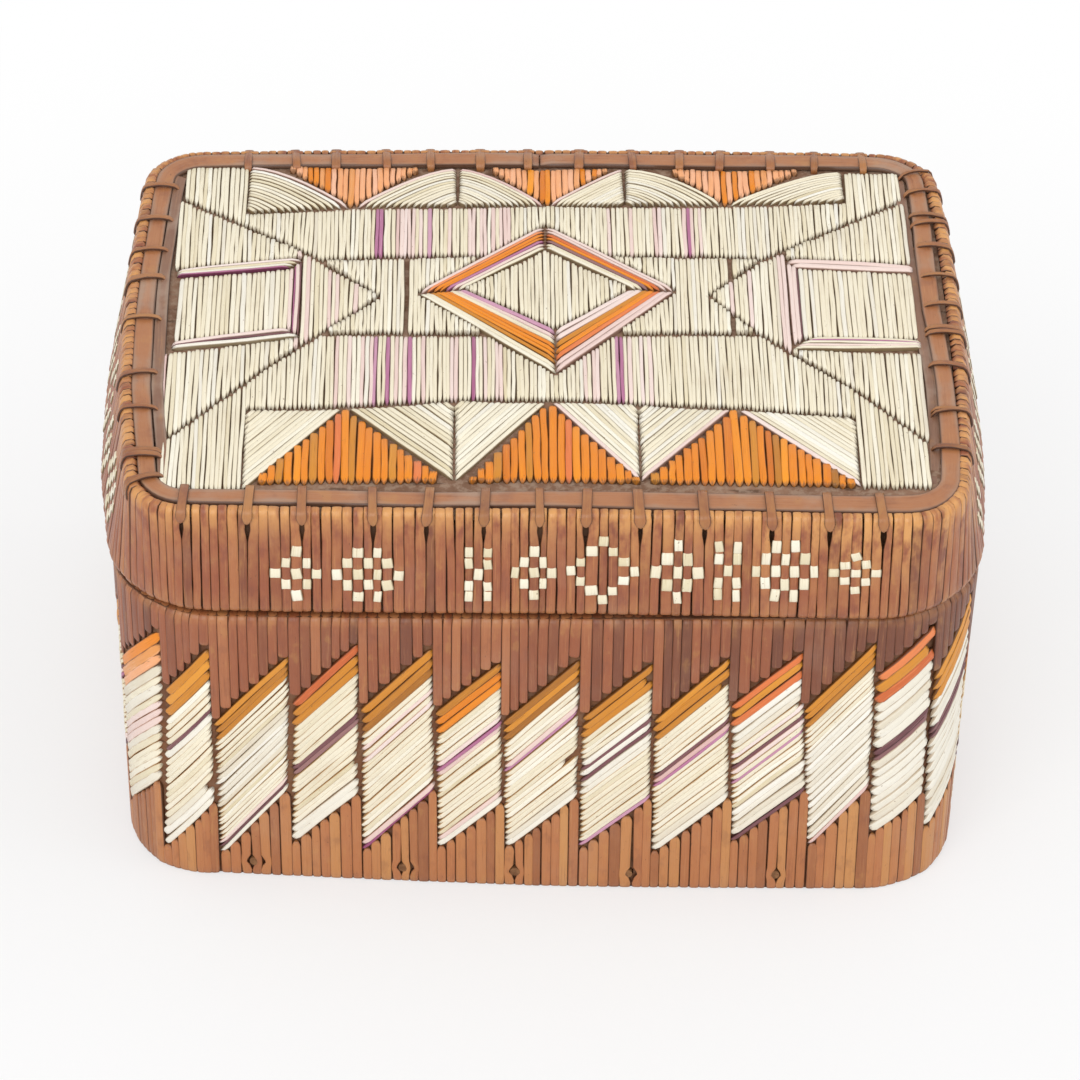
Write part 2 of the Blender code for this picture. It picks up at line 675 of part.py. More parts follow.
def build_band(side, depth, triangle_half, finish, lid):
    """Row of dyed triangles along the front or back edge, with cream fans between them."""
    sign = 1 if side == "back" else -1
    edge = sign * FIELD_HALF_Y
    inner = edge - sign * depth
    middles = [(number - 2) * TRIANGLE_SPACING for number in (1, 2, 3)]
    for number, middle in enumerate(middles, 1):
        corners = [(middle - triangle_half, edge), (middle + triangle_half, edge),
                   (middle, inner)]
        patch(f"triangle_{side}_{number}", corners, finish, lid)
    tips = [-BAND_HALF] + middles + [BAND_HALF]
    for number, (left, right) in enumerate(zip(tips, tips[1:]), 1):
        near = left + (triangle_half if number > 1 else 0.0)
        far = right - (triangle_half if number < 4 else 0.0)
        patch(f"fan_{side}_{number}", [(left, inner), (near, edge), (far, edge), (right, inner)],
              "cream", lid)
    return [(-BAND_HALF, inner), (BAND_HALF, inner), (BAND_HALF, edge), (-BAND_HALF, edge)]


def patch(name, corners, finish, lid):
    """Patch drawn in by half a fit all round, so that it stands clear of its neighbours."""
    return polygon_slab(name, grow(anticlockwise(corners), -FIT / 2), finish, lid)


def anticlockwise(corners):
    """The same polygon, turning left."""
    area = sum(ax * by - bx * ay
               for (ax, ay), (bx, by) in zip(corners, corners[1:] + corners[:1]))
    return corners if area > 0 else corners[::-1]


def build_diamond(lid):
    """Diamond in the middle of the lid, a dyed border round a cream centre."""
    around = [(cos(turn * pi / 2), sin(turn * pi / 2)) for turn in range(4)]
    middle_x, middle_y = DIAMOND_PLACE
    outer = [(middle_x + c * DIAMOND_HALF[0], middle_y + s * DIAMOND_HALF[1]) for c, s in around]
    inner = [(middle_x + c * DIAMOND_CORE_HALF[0], middle_y + s * DIAMOND_CORE_HALF[1])
             for c, s in around]
    border = patch("diamond_border", outer, "orange", lid)
    patch("diamond_centre", inner, "cream", lid)
    hole = bmesh.new()
    add_prism(hole, grow(inner, FIT / 2), PANEL_TOP, QUILL_TOP + QUILL_THICKNESS)
    cut(border, make_cutter("diamond_hole", hole))
    return outer


def build_inset(side, sign, lid):
    """Square of white quills let into a side of the field, framed by bars of pink ones."""
    low = INSET_CENTRE_Y - INSET_DEPTH / 2
    high = INSET_CENTRE_Y + INSET_DEPTH / 2
    edge = sign * FIELD_HALF_X
    inner = sign * (FIELD_HALF_X - INSET_LENGTH)
    bar = inner + sign * BAR_WIDTH
    half = FIT / 2
    frame = [(edge, low + half), (inner + sign * half, low + half),
             (inner + sign * half, high - half), (edge, high - half),
             (edge, high - BAR_WIDTH), (bar, high - BAR_WIDTH), (bar, low + BAR_WIDTH),
             (edge, low + BAR_WIDTH)]
    polygon_slab("inset_bars_" + side, frame, "pink", lid)
    near = bar + sign * FIT
    polygon_slab("inset_" + side, [(near, low + BAR_WIDTH + FIT), (edge, low + BAR_WIDTH + FIT),
                                   (edge, high - BAR_WIDTH - FIT),
                                   (near, high - BAR_WIDTH - FIT)], "white", lid)
    return [(inner, low), (edge + sign * FIT, low), (edge + sign * FIT, high), (inner, high)]


def build_quill_field(lid):
    """Quill work on the lid: dyed patches let into a cream ground."""
    openings = [build_band("back", BACK_BAND, BACK_TRIANGLE_HALF, "faded_orange", lid),
                build_band("front", FRONT_BAND, FRONT_TRIANGLE_HALF, "orange", lid),
                build_diamond(lid), build_inset("left", -1, lid), build_inset("right", 1, lid)]
    field = [(-FIELD_HALF_X, -FIELD_HALF_Y), (FIELD_HALF_X, -FIELD_HALF_Y),
             (FIELD_HALF_X, FIELD_HALF_Y), (-FIELD_HALF_X, FIELD_HALF_Y)]
    ground = polygon_slab("quill_ground", field, "cream", lid)
    cutters = bmesh.new()
    for corners in openings:
        add_prism(cutters, grow(anticlockwise(corners), FIT / 2), PANEL_TOP,
                  QUILL_TOP + QUILL_THICKNESS)
    cut(ground, make_cutter("ground_openings", cutters))


def build_lid():
    """Panel, hoop, wrapped rim, lashings and quills of the lid, which lifts straight off."""
    lid = bpy.data.objects.new("lid_lift", None)
    lid.location = (0.0, 0.0, LID_FOOT)
    bpy.context.scene.collection.objects.link(lid)
    plain_ring("lid_rim_core", [(CORE_OUT, CORE_FOOT), (CORE_OUT, CORE_TOP),
                                (CORE_IN, CORE_TOP), (CORE_IN, CORE_FOOT)], "bark", lid)
    build_wrap(lid)
    plate("lid_lining", CORE_IN + FIT, CORE_TOP - LINING_THICKNESS, CORE_TOP, "liner_bark", lid)
    panel = plate("lid_top_panel", CORE_OUT, PANEL_FOOT, PANEL_TOP, "bark", lid)
    inner_leg = (HOOP_IN, HOOP_IN + LASHING_THICKNESS + 2 * FIT)
    cut(panel, slot_cutter("panel_slots", inner_leg, (CORE_TOP, LID_TOP)))
    hoop_foot = PANEL_TOP + FIT
    plain_ring("lid_hoop", [(HOOP_OUT, hoop_foot), (HOOP_OUT, LID_TOP),
                            (HOOP_IN, LID_TOP), (HOOP_IN, hoop_foot)], "pale_root", lid)
    for side, _, loops, pitch in lashing_places():
        build_lashing(side, loops, pitch, lid)
    build_quill_field(lid)


def main():
    """Build the box in its frame."""
    clear_scene()
    build_body()
    build_lid()


main()
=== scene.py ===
"""Looks of a birchbark box sewn with dyed quills and split root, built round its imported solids.

Metres, +Z up, in the solids' own frame. Every quill, root and stitch is its own strip, laid on
the outline that the lid and the body share, and the strips of one dye in one place are one piece.
"""
import logging
from dataclasses import dataclass, field
from enum import Enum
from math import hypot, pi, radians
from typing import Any, Callable, Optional, Sequence, Union

import bmesh
import bpy
import numpy as np
from mathutils import Euler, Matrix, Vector


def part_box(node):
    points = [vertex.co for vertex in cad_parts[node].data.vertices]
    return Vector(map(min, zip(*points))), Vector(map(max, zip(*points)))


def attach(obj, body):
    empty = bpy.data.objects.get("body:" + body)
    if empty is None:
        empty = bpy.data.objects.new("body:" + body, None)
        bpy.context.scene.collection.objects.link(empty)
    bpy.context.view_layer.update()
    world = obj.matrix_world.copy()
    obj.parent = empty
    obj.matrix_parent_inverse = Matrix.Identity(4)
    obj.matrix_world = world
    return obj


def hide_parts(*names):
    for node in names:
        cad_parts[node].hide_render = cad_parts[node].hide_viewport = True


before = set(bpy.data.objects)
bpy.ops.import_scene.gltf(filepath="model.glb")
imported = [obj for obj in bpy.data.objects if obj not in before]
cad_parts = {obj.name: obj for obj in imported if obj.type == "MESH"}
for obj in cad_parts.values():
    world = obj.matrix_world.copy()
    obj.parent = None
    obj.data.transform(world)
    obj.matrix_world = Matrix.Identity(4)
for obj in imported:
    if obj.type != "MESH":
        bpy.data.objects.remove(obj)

log = logging.getLogger("quill_box")
MM = 0.001
UP = np.array([0.0, 0.0, 1.0])
SIDES = ("front", "right", "back", "left")
Number = Union[float, np.ndarray]
Span = tuple[float, float]
Knots = tuple[Span, ...]


def linear(code: str) -> tuple[float, ...]:
    """Returns a hex colour, as it looks, in linear light."""
    parts = [int(code[i:i + 2], 16) / 255 for i in (0, 2, 4)]
    return tuple(p / 12.92 if p <= 0.04045 else ((p + 0.055) / 1.055) ** 2.4 for p in parts)


def unit(vectors: np.ndarray) -> np.ndarray:
    """Returns vectors at length one."""
    return vectors / np.maximum(np.linalg.norm(vectors, axis=-1, keepdims=True), 1e-12)


def level_at(knots: Knots, x: float) -> float:
    """Returns where a bent line runs at x."""
    return float(np.interp(x, *np.array(knots).T))


def shade_by(chance: np.random.Generator, middle: float, spread: float) -> float:
    """Returns a shade by chance: paler above 0, deeper below, to 1 either way."""
    return float(np.clip(chance.normal(middle, spread), -1, 1))


def split(chance: np.random.Generator, start: float, end: float, count: int,
          spread: float = 0.16) -> list[Span]:
    """Splits a stretch into uneven parts.

    Args:
        chance: the source of chances.
        start: where the stretch starts.
        end: where it ends.
        count: how many parts there are.
        spread: how far their sizes differ.

    Returns:
        The middle and the size of each part.
    """
    sizes = chance.uniform(1 - spread, 1 + spread, count)
    sizes *= (end - start) / sizes.sum()
    return list(zip(start + np.cumsum(sizes) - sizes / 2, sizes))


def operate(name: str, swapped: bool = False) -> Callable[..., "Value"]:
    """Makes an operator of shader values.

    Args:
        name: the Math node's operation.
        swapped: whether its two values change places.

    Returns:
        A method that adds the node.
    """

    def method(self: "Value", other: Any = 0.0) -> "Value":
        """Returns the node's result."""
        ends = {0: other, 1: self} if swapped else {0: self, 1: other}
        return self.graph.node("Math", {"operation": name}, ends)

    return method


class Value:
    """One output of a shader node, on which Python's operators add Math nodes."""

    def __init__(self, graph: "Graph", socket: Optional[bpy.types.NodeSocket]) -> None:
        """Keeps the socket and the graph that it belongs to."""
        self.graph, self.socket = graph, socket

    __add__, __radd__ = operate("ADD"), operate("ADD", True)
    __sub__, __rsub__ = operate("SUBTRACT"), operate("SUBTRACT", True)
    __mul__, __rmul__ = operate("MULTIPLY"), operate("MULTIPLY", True)
    __abs__ = operate("ABSOLUTE")


class Graph:
    """The node tree of a material or of the sky."""

    def __init__(self, owner: Union[bpy.types.Material, bpy.types.World]) -> None:
        """Empties its owner's tree.

        Args:
            owner: the material or the sky.
        """
        owner.use_nodes = True
        self.owner, self.tree = owner, owner.node_tree
        self.tree.nodes.clear()

    def node(self, kind: str, settings: Optional[dict[str, Any]] = None,
             sockets: Optional[dict[Any, Any]] = None, out: Union[int, str] = 0) -> Value:
        """Adds a node.

        Args:
            kind: its type's name after ShaderNode.
            settings: its settings, set before its sockets.
            sockets: values or links by the socket's name or number.
            out: the output that is wanted.

        Returns:
            That output.
        """
        made = self.tree.nodes.new("ShaderNode" + kind)
        for key, value in (settings or {}).items():
            setattr(made, key, value)
        for key, value in (sockets or {}).items():
            if isinstance(value, Value):
                self.tree.links.new(value.socket, made.inputs[key])
            else:
                made.inputs[key].default_value = value
        return Value(self, made.outputs[out] if len(made.outputs) else None)

    def mix(self, share: Any, first: Any, second: Any) -> Value:
        """Returns the mix of two colours, each a link or a linear colour."""
        ends = {k: v if isinstance(v, Value) else (*v, 1.0) for k, v in ((6, first), (7, second))}
        return self.node("Mix", {"data_type": "RGBA"}, {0: share, **ends}, out=2)

    def lay(self, colour: Value, value: Value, low: float, high: float, share: float,
            code: str) -> Value:
        """Returns a colour with a share of another over it where a value is past low, to high."""
        return self.mix(self.step(value, low, high) * share, colour, linear(code))

    def part(self, name: str) -> Value:
        """Returns a strip's own attribute."""
        return self.node("Attribute", {"attribute_name": name}, out=2)

    def vector(self, x: Any, y: Any, z: Any) -> Value:
        """Returns three values as one vector."""
        return self.node("CombineXYZ", None, {0: x, 1: y, 2: z})

    def place(self, x: float = 1.0, y: float = 1.0, z: float = 1.0) -> Value:
        """Returns the place on the object, stretched by three shares."""
        spot = self.node("TexCoord", out="Object")
        return self.node("VectorMath", {"operation": "MULTIPLY"}, {0: spot, 1: (x, y, z)})

    def noise(self, vector: Value, scale: float = 1.0, detail: float = 3.0,
              rough: float = 0.5) -> Value:
        """Returns a noise pattern about 0.5, read at a vector."""
        return self.node("TexNoise", None,
                         {"Vector": vector, "Scale": scale, "Detail": detail, "Roughness": rough})

    def step(self, value: Value, low: float, high: float, start: float = 0.0,
             end: float = 1.0) -> Value:
        """Returns a value that goes smoothly from start to end as another goes from low to high."""
        return self.node("MapRange", {"interpolation_type": "SMOOTHSTEP"},
                         {0: value, 1: low, 2: high, 3: start, 4: end})

    def close(self, colour: Value, rough: Any, height: Value, depth: float,
              coat: float = 0.0, gloss: float = 0.5) -> bpy.types.Material:
        """Ends the material in its shader.

        Args:
            colour: the base colour.
            rough: the roughness.
            height: the relief from 0 to 1.
            depth: how deep that relief is, in metres.
            coat: the weight of the clear coat.
            gloss: the specular level.

        Returns:
            The finished material.
        """
        bump = self.node("Bump", None, {"Strength": 0.8, "Distance": depth, "Height": height})
        shader = self.node("BsdfPrincipled", None, {
            "Base Color": colour, "Roughness": rough, "Normal": bump, "Coat Weight": coat,
            "Coat Roughness": 0.25, "Specular IOR Level": gloss})
        self.node("OutputMaterial", None, {"Surface": shader})
        return self.owner


@dataclass(frozen=True)
class StripFinish:
    """What the finishes of quills and roots share: three tones of one colour."""

    name: str
    slot: str
    body: str
    pale: str
    deep: str

    def start(self) -> tuple[Graph, Value, Value, Value, Value]:
        """Starts the material.

        Returns:
            The graph, the places along and across a strip, its grain and its colour.
        """
        g = Graph(bpy.data.materials.new(self.name))
        shade = g.part("shade")
        colour = g.mix(g.step(shade, 0.0, 1.0), linear(self.body), linear(self.pale))
        colour = g.mix(g.step(shade, 0.0, -1.0), colour, linear(self.deep))
        return g, g.part("along"), g.part("across"), g.part("grain"), colour


@dataclass(frozen=True)
class QuillFinish(StripFinish):
    """A dyed quill: satin, streaked along its length, with painted shade along its edges where it
    meets its neighbours, and dark at its tucked ends.
    """

    streak: str = "A98A58"
    streaks: float = 0.42
    grime: float = 0.16
    # The two line colours below paint shade along a quill's edges where it meets its neighbours: one
    # on the lid, one on the body.
    line: str = "7C6340"
    body_line: str = "B88950"

    def build(self) -> bpy.types.Material:
        """Makes the material.

        Returns:
            The finished material.
        """
        g, along, across, grain, colour = self.start()
        thread = g.noise(g.vector(along * 1.2, across * 6.0, grain), 1.0, 3.0, 0.6)
        thin = g.step(thread, 0.58, 0.74)
        colour = g.mix(thin * self.streaks, colour, linear(self.streak))
        colour = g.lay(colour, thread, 0.46, 0.30, 0.45, self.pale)
        fleck = g.noise(g.vector(along * 9.0, across * 2.0, grain + 7.0), 1.0, 2.0)
        colour = g.lay(colour, fleck, 0.71, 0.77, 0.55, "7A5530")
        dust = g.noise(g.place(), 70.0, 4.0, 0.6)
        colour = g.lay(colour, dust, 0.50, 0.80, self.grime, "A98C66")
        # Painted shade between quills: the edges take a brown line colour. The body's quills are
        # laid with a value of 1, which picks the body's line colour.
        edge = g.step(abs(across * 2.0 - 1.0) + (thread - 0.5) * 0.25, 0.72, 0.99)
        line = g.mix(g.part("rub"), linear(self.line), linear(self.body_line))
        colour = g.mix(edge * 0.92, colour, line)
        tip = g.step(g.part("end") + (thread - 0.5) * 1.5, 0.36, 0.02)
        colour = g.mix(tip * 0.66, colour, linear("5A4228"))
        relief = thread * 0.7 + g.noise(g.vector(along * 3.0, across * 22.0, grain)) * 0.3
        return g.close(colour, 0.38 + thin * 0.18 + tip * 0.15, relief, 0.00014, coat=0.10)


@dataclass(frozen=True)
class RootFinish(StripFinish):
    """Split root: red-brown, fibrous along its length, worn paler along its crown, partly a painted
    highlight on ridges and rolled tops, with painted shade along its edges.
    """

    # The worn colour serves pale fibres and worn places; along ridges and rolled tops it is partly a
    # painted highlight.
    worn: str = "C98F5C"
    wear: float = 0.55
    # The line colour paints shade along each strip's edges, in the gaps between neighbouring strips.
    line: str = "3C2114"
    dusty: float = 0.14
    frayed: float = 0.0

    def build(self) -> bpy.types.Material:
        """Makes the material.

        Returns:
            The finished material.
        """
        g, along, across, grain, colour = self.start()
        fibre = g.noise(g.vector(along * 0.8, across * 7.0, grain), 1.0, 5.0, 0.65)
        colour = g.lay(colour, fibre, 0.55, 0.76, 0.40, "6A3B26")
        colour = g.lay(colour, fibre, 0.45, 0.28, 0.35, self.worn)
        patch = g.noise(g.vector(along * 1.5, across * 0.6, grain + 3.0), 1.0, 3.0, 0.6)
        colour = g.lay(colour, patch, 0.54, 0.72, 0.28, "7C4A34")
        colour = g.lay(colour, patch, 0.42, 0.30, 0.22, "C4904A")
        # Painted highlight, with real wear: the crown goes paler where the strip's per-station value
        # is high.
        rub = g.part("rub") * g.step(patch, 0.70, 0.40)
        colour = g.mix(rub * self.wear, colour, linear(self.worn))
        speck = g.noise(g.vector(along * 8.0, across * 5.0, grain + 9.0), 1.0, 2.0)
        colour = g.lay(colour, speck, 0.71, 0.77, 0.5, "4A2A1A")
        dust = g.noise(g.place(), 55.0, 4.0, 0.6)
        colour = g.lay(colour, dust, 0.48, 0.78, self.dusty, "B79A86")
        rim = abs(across * 2.0 - 1.0)
        colour = g.lay(colour, rim + (dust - 0.5) * 2.2, 0.40, 1.0, self.frayed, "A08A78")
        # Painted shade: a dark line along both edges of each strip, where neighbouring strips meet.
        colour = g.lay(colour, rim + (fibre - 0.5) * 0.16, 0.80, 0.99, 0.88, self.line)
        colour = g.lay(colour, g.part("end"), 0.30, 0.0, 0.30, "5A3422")
        relief = fibre * 0.8 + g.noise(g.vector(along * 2.0, across * 24.0, grain)) * 0.25
        rough = 0.38 + g.step(fibre, 0.45, 0.7) * 0.20 - rub * 0.10
        return g.close(colour, rough, relief, 0.00020, coat=0.18)


@dataclass(frozen=True)
class BarkFinish:
    """Birchbark: papery, with short dark pores that run one way, and dust."""

    name: str
    body: str
    pale: str
    pore: str
    dust: str
    dusty: float

    def build(self) -> bpy.types.Material:
        """Makes the material.

        Returns:
            The finished material.
        """
        g = Graph(bpy.data.materials.new(self.name))
        cloud = g.noise(g.place(), 45.0, 5.0, 0.62)
        colour = g.mix(g.step(cloud, 0.38, 0.66), linear(self.body), linear(self.pale))
        dark = g.step(g.noise(g.place(0.12, 0.5, 1.0), 900.0, 2.0), 0.60, 0.70)
        colour = g.mix(dark * 0.7, colour, linear(self.pore))
        powder = g.noise(g.place(), 400.0, 5.0, 0.7)
        colour = g.lay(colour, powder, 0.42, 0.62, self.dusty, self.dust)
        relief = cloud * 0.4 + powder * 0.5 + (1 - dark) * 0.3
        return g.close(colour, 0.72 + powder * 0.2, relief, 0.0004, gloss=0.25)


@dataclass(frozen=True)
class WoodFinish:
    """Wood: straight grain along one axis, with dull pores."""

    name: str
    body: str
    band: str
    axis: int

    def build(self) -> bpy.types.Material:
        """Makes the material.

        Returns:
            The finished material.
        """
        g = Graph(bpy.data.materials.new(self.name))
        scale = [0.06 if axis == self.axis else 1.0 for axis in range(3)]
        ring = g.noise(g.place(*scale), 260.0, 4.0, 0.6)
        colour = g.mix(g.step(ring, 0.40, 0.62), linear(self.body), linear(self.band))
        pore = g.noise(g.place(*scale), 1500.0, 2.0)
        colour = g.lay(colour, pore, 0.58, 0.70, 0.5, "4E3220")
        return g.close(colour, 0.62 + ring * 0.2, ring * 0.6 + pore * 0.4, 0.0003, gloss=0.3)


class Dye(Enum):
    """Finishes of strips, by the letter that the pattern tables use."""

    CREAM = "C"
    IVORY = "I"
    ORANGE = "O"
    AMBER = "A"
    EMBER = "E"
    FADED = "F"
    ROSE = "R"
    MAGENTA = "M"
    PLUM = "P"
    ROOT = "r"
    FOOT = "f"
    RIM = "w"
    HOOP = "h"
    INNER = "i"
    STITCH = "s"


FINISHES: dict[Dye, Union[QuillFinish, RootFinish]] = {
    Dye.CREAM: QuillFinish("cream_quill", "cream_quill", "F1E7CD", "FAF5E4", "E2D4B0"),
    Dye.IVORY: QuillFinish("ivory_quill", "white_quill", "F0EADA", "F8F4E9", "E4D9C2",
                           "C4AC84", 0.28, 0.10, "86704C", "B9A488"),
    Dye.ORANGE: QuillFinish("orange_quill", "orange_quill", "EA8600", "F89C10", "CC6800",
                            "A8641A", 0.40, 0.06, "5C3412", "5E3614"),
    Dye.AMBER: QuillFinish("amber_quill", "orange_quill", "D08418", "E69A2C", "A66612",
                           "8A5A1C", 0.45, 0.10, "5C3A14", "5E3614"),
    Dye.EMBER: QuillFinish("ember_quill", "orange_quill", "E4783A", "F2965A", "C65E26",
                           "9A4A1C", 0.40, 0.08, "5C3012", "5E3014"),
    Dye.FADED: QuillFinish("faded_quill", "faded_orange_quill", "F5AC76", "F6C4A6", "E89A50",
                           "C4703A", 0.40, 0.10, "7A4620", "7A4620"),
    Dye.ROSE: QuillFinish("rose_quill", "pink_quill", "EFD6CC", "F6E6DF", "DDB4AE",
                          "C08C94", 0.35, 0.10, "85604E", "B07C5C"),
    Dye.MAGENTA: QuillFinish("magenta_quill", "pink_quill", "B97298", "DDB2C4", "9C4A74",
                             "7A3058", 0.50, 0.08, "6A3048", "7A3C54"),
    Dye.PLUM: QuillFinish("plum_quill", "pink_quill", "74444A", "A87C78", "582E34",
                          "4A262A", 0.50, 0.10, "3E1E20", "4A2626"),
    Dye.ROOT: RootFinish("split_root", "root", "98522F", "AE6A40", "703B23"),
    Dye.FOOT: RootFinish("foot_root", "root", "B57040", "C88C50", "985A32"),
    # The rim's worn colour, at a large share, paints a highlight along the turns' fold as well as
    # wear.
    Dye.RIM: RootFinish("rim_root", "root", "985030", "AE6A3E", "7A3E24", "DEA05C", 0.92),
    Dye.HOOP: RootFinish("strip_root", "pale_root", "A86C44", "C09064", "86563A", wear=0.50,
                         line="5A4032", dusty=0.50, frayed=0.45),
    Dye.INNER: RootFinish("inner_root", "root", "86604A", "9C7A64", "6E4C3A", wear=0.2,
                          dusty=0.80, frayed=0.60),
    Dye.STITCH: RootFinish("stitch_root", "pale_root", "965A36", "AC7446", "7E4A2E", "C88C4C",
                           0.50),
}


@dataclass
class Blank:
    """A strip a unit long, wide and high, modelled once, that every strip of its kind copies.

    Its width and its height are whole but for the stations at its head and its tail.
    """

    stations: tuple[float, ...]
    wide: tuple[tuple[float, ...], tuple[float, ...]]
    high: tuple[tuple[float, ...], tuple[float, ...]]
    rounding: float = 0.32
    segments: int = 2

    def __post_init__(self) -> None:
        """Models the strip: a cube, its long upper edges rounded, cut across at each station."""
        bpy.ops.object.select_all(action="DESELECT")
        bpy.ops.mesh.primitive_cube_add(size=1.0, location=(0.5, 0.0, 0.5))
        made = bpy.context.object
        bpy.ops.object.transform_apply(location=True, rotation=True, scale=True)
        bpy.ops.object.mode_set(mode="EDIT")
        bpy.ops.mesh.select_mode(type="EDGE")
        bpy.ops.mesh.select_all(action="DESELECT")
        mesh = bmesh.from_edit_mesh(made.data)
        for edge in mesh.edges:
            a, b = edge.verts
            edge.select_set(a.co.z > 0.9 and b.co.z > 0.9 and abs(a.co.x - b.co.x) > 0.5)
        bmesh.update_edit_mesh(made.data)
        bpy.ops.mesh.bevel(offset=self.rounding, segments=self.segments, affect="EDGES")
        for station in self.stations[1:-1]:
            bpy.ops.mesh.select_all(action="SELECT")
            bpy.ops.mesh.bisect(plane_co=(station, 0.0, 0.0), plane_no=(1.0, 0.0, 0.0))
        bpy.ops.object.mode_set(mode="OBJECT")
        spots = np.array([v.co for v in made.data.vertices])
        self.ring = np.argmin(np.abs(spots[:, :1] - np.array(self.stations)[None, :]), axis=1)
        self.across, self.rise = spots[:, 1], spots[:, 2]
        self.faces = [tuple(p.vertices) for p in made.data.polygons]
        self.part = np.array(self.stations)
        self.widths, self.heights = (
            np.array([*head, *[1.0] * (len(self.stations) - len(head) - len(tail)), *tail])
            for head, tail in (self.wide, self.high))
        bpy.data.objects.remove(made)


class Pile:
    """Strips of one finish in one place, gathered into one piece."""

    tip_length: float = 2.5 * MM
    smooth_below: float = radians(62)

    def __init__(self, name: str, dye: Dye, body: str) -> None:
        """Starts an empty piece.

        Args:
            name: the piece's name.
            dye: its finish.
            body: the body that it moves with.
        """
        self.name, self.dye, self.body = name, dye, body
        self.points: list[np.ndarray] = []
        self.faces: list[tuple[int, ...]] = []
        self.parts: dict[str, list[np.ndarray]] = {
            key: [] for key in ("along", "across", "grain", "shade", "end", "rub")}
        self.count = self.strips = 0

    def lay(self, blank: Blank, spine: np.ndarray, out: np.ndarray, width: Number,
            height: Number, shade: float, rub: Number = 0.0, tucked: bool = True) -> None:
        """Lays one strip.

        Args:
            blank: the strip that is copied.
            spine: the middle of its underside, a point for each station.
            out: which way its crown faces, one vector or one for each station.
            width: its full width.
            height: its full height.
            shade: paler above 0, deeper below, to 1 either way.
            rub: how worn it is, its paler crown partly a painted highlight, from 0 to 1, one value
                or one for each station.
            tucked: whether its ends are darkened where they go in.
        """
        ahead = unit(np.gradient(spine, axis=0))
        out = unit(out - (out * ahead).sum(1, keepdims=True) * ahead)
        ring, full = blank.ring, np.ones(len(spine))
        wide = (full * width * blank.widths)[ring]
        high = (full * height * blank.heights)[ring]
        self.points.append(spine[ring] + np.cross(out, ahead)[ring] * (blank.across * wide)[:, None]
                           + out[ring] * (blank.rise * high)[:, None])
        self.faces += [tuple(i + self.count for i in face) for face in blank.faces]
        self.count += len(ring)
        steps = np.linalg.norm(np.diff(spine, axis=0), axis=1)
        run = np.concatenate([[0.0], np.cumsum(steps)])
        tip = np.clip(np.minimum(run, run[-1] - run) / self.tip_length + 9.0 * (not tucked), 0, 1)
        grain = (self.strips * 7.31 + len(self.name) * 3.7) % 97.0
        values = {"along": run[ring] * 100, "across": blank.across + 0.5, "grain": grain,
                  "shade": shade, "end": tip[ring], "rub": (full * rub)[ring]}
        for key, value in values.items():
            self.parts[key].append(np.zeros(len(ring)) + value)
        self.strips += 1

    def make(self, material: bpy.types.Material, nodes: Sequence[str]) -> None:
        """Makes the piece from what was laid.

        Args:
            material: its material.
            nodes: the solids that it stands for.
        """
        mesh = bpy.data.meshes.new(self.name)
        mesh.from_pydata(np.concatenate(self.points).tolist(), [], self.faces)
        for key, values in self.parts.items():
            layer = mesh.attributes.new(key, "FLOAT", "POINT")
            layer.data.foreach_set("value", np.concatenate(values).astype(np.float32))
        mesh.materials.append(material)
        piece = bpy.data.objects.new(self.name, mesh)
        bpy.context.scene.collection.objects.link(piece)
        bpy.ops.object.select_all(action="DESELECT")
        piece.select_set(True)
        bpy.context.view_layer.objects.active = piece
        bpy.ops.object.shade_smooth_by_angle(angle=self.smooth_below)
        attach(piece, self.body)
        if nodes:
            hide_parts(*nodes)
        log.info("%s: %d strips, %d faces", self.name, self.strips, len(self.faces))


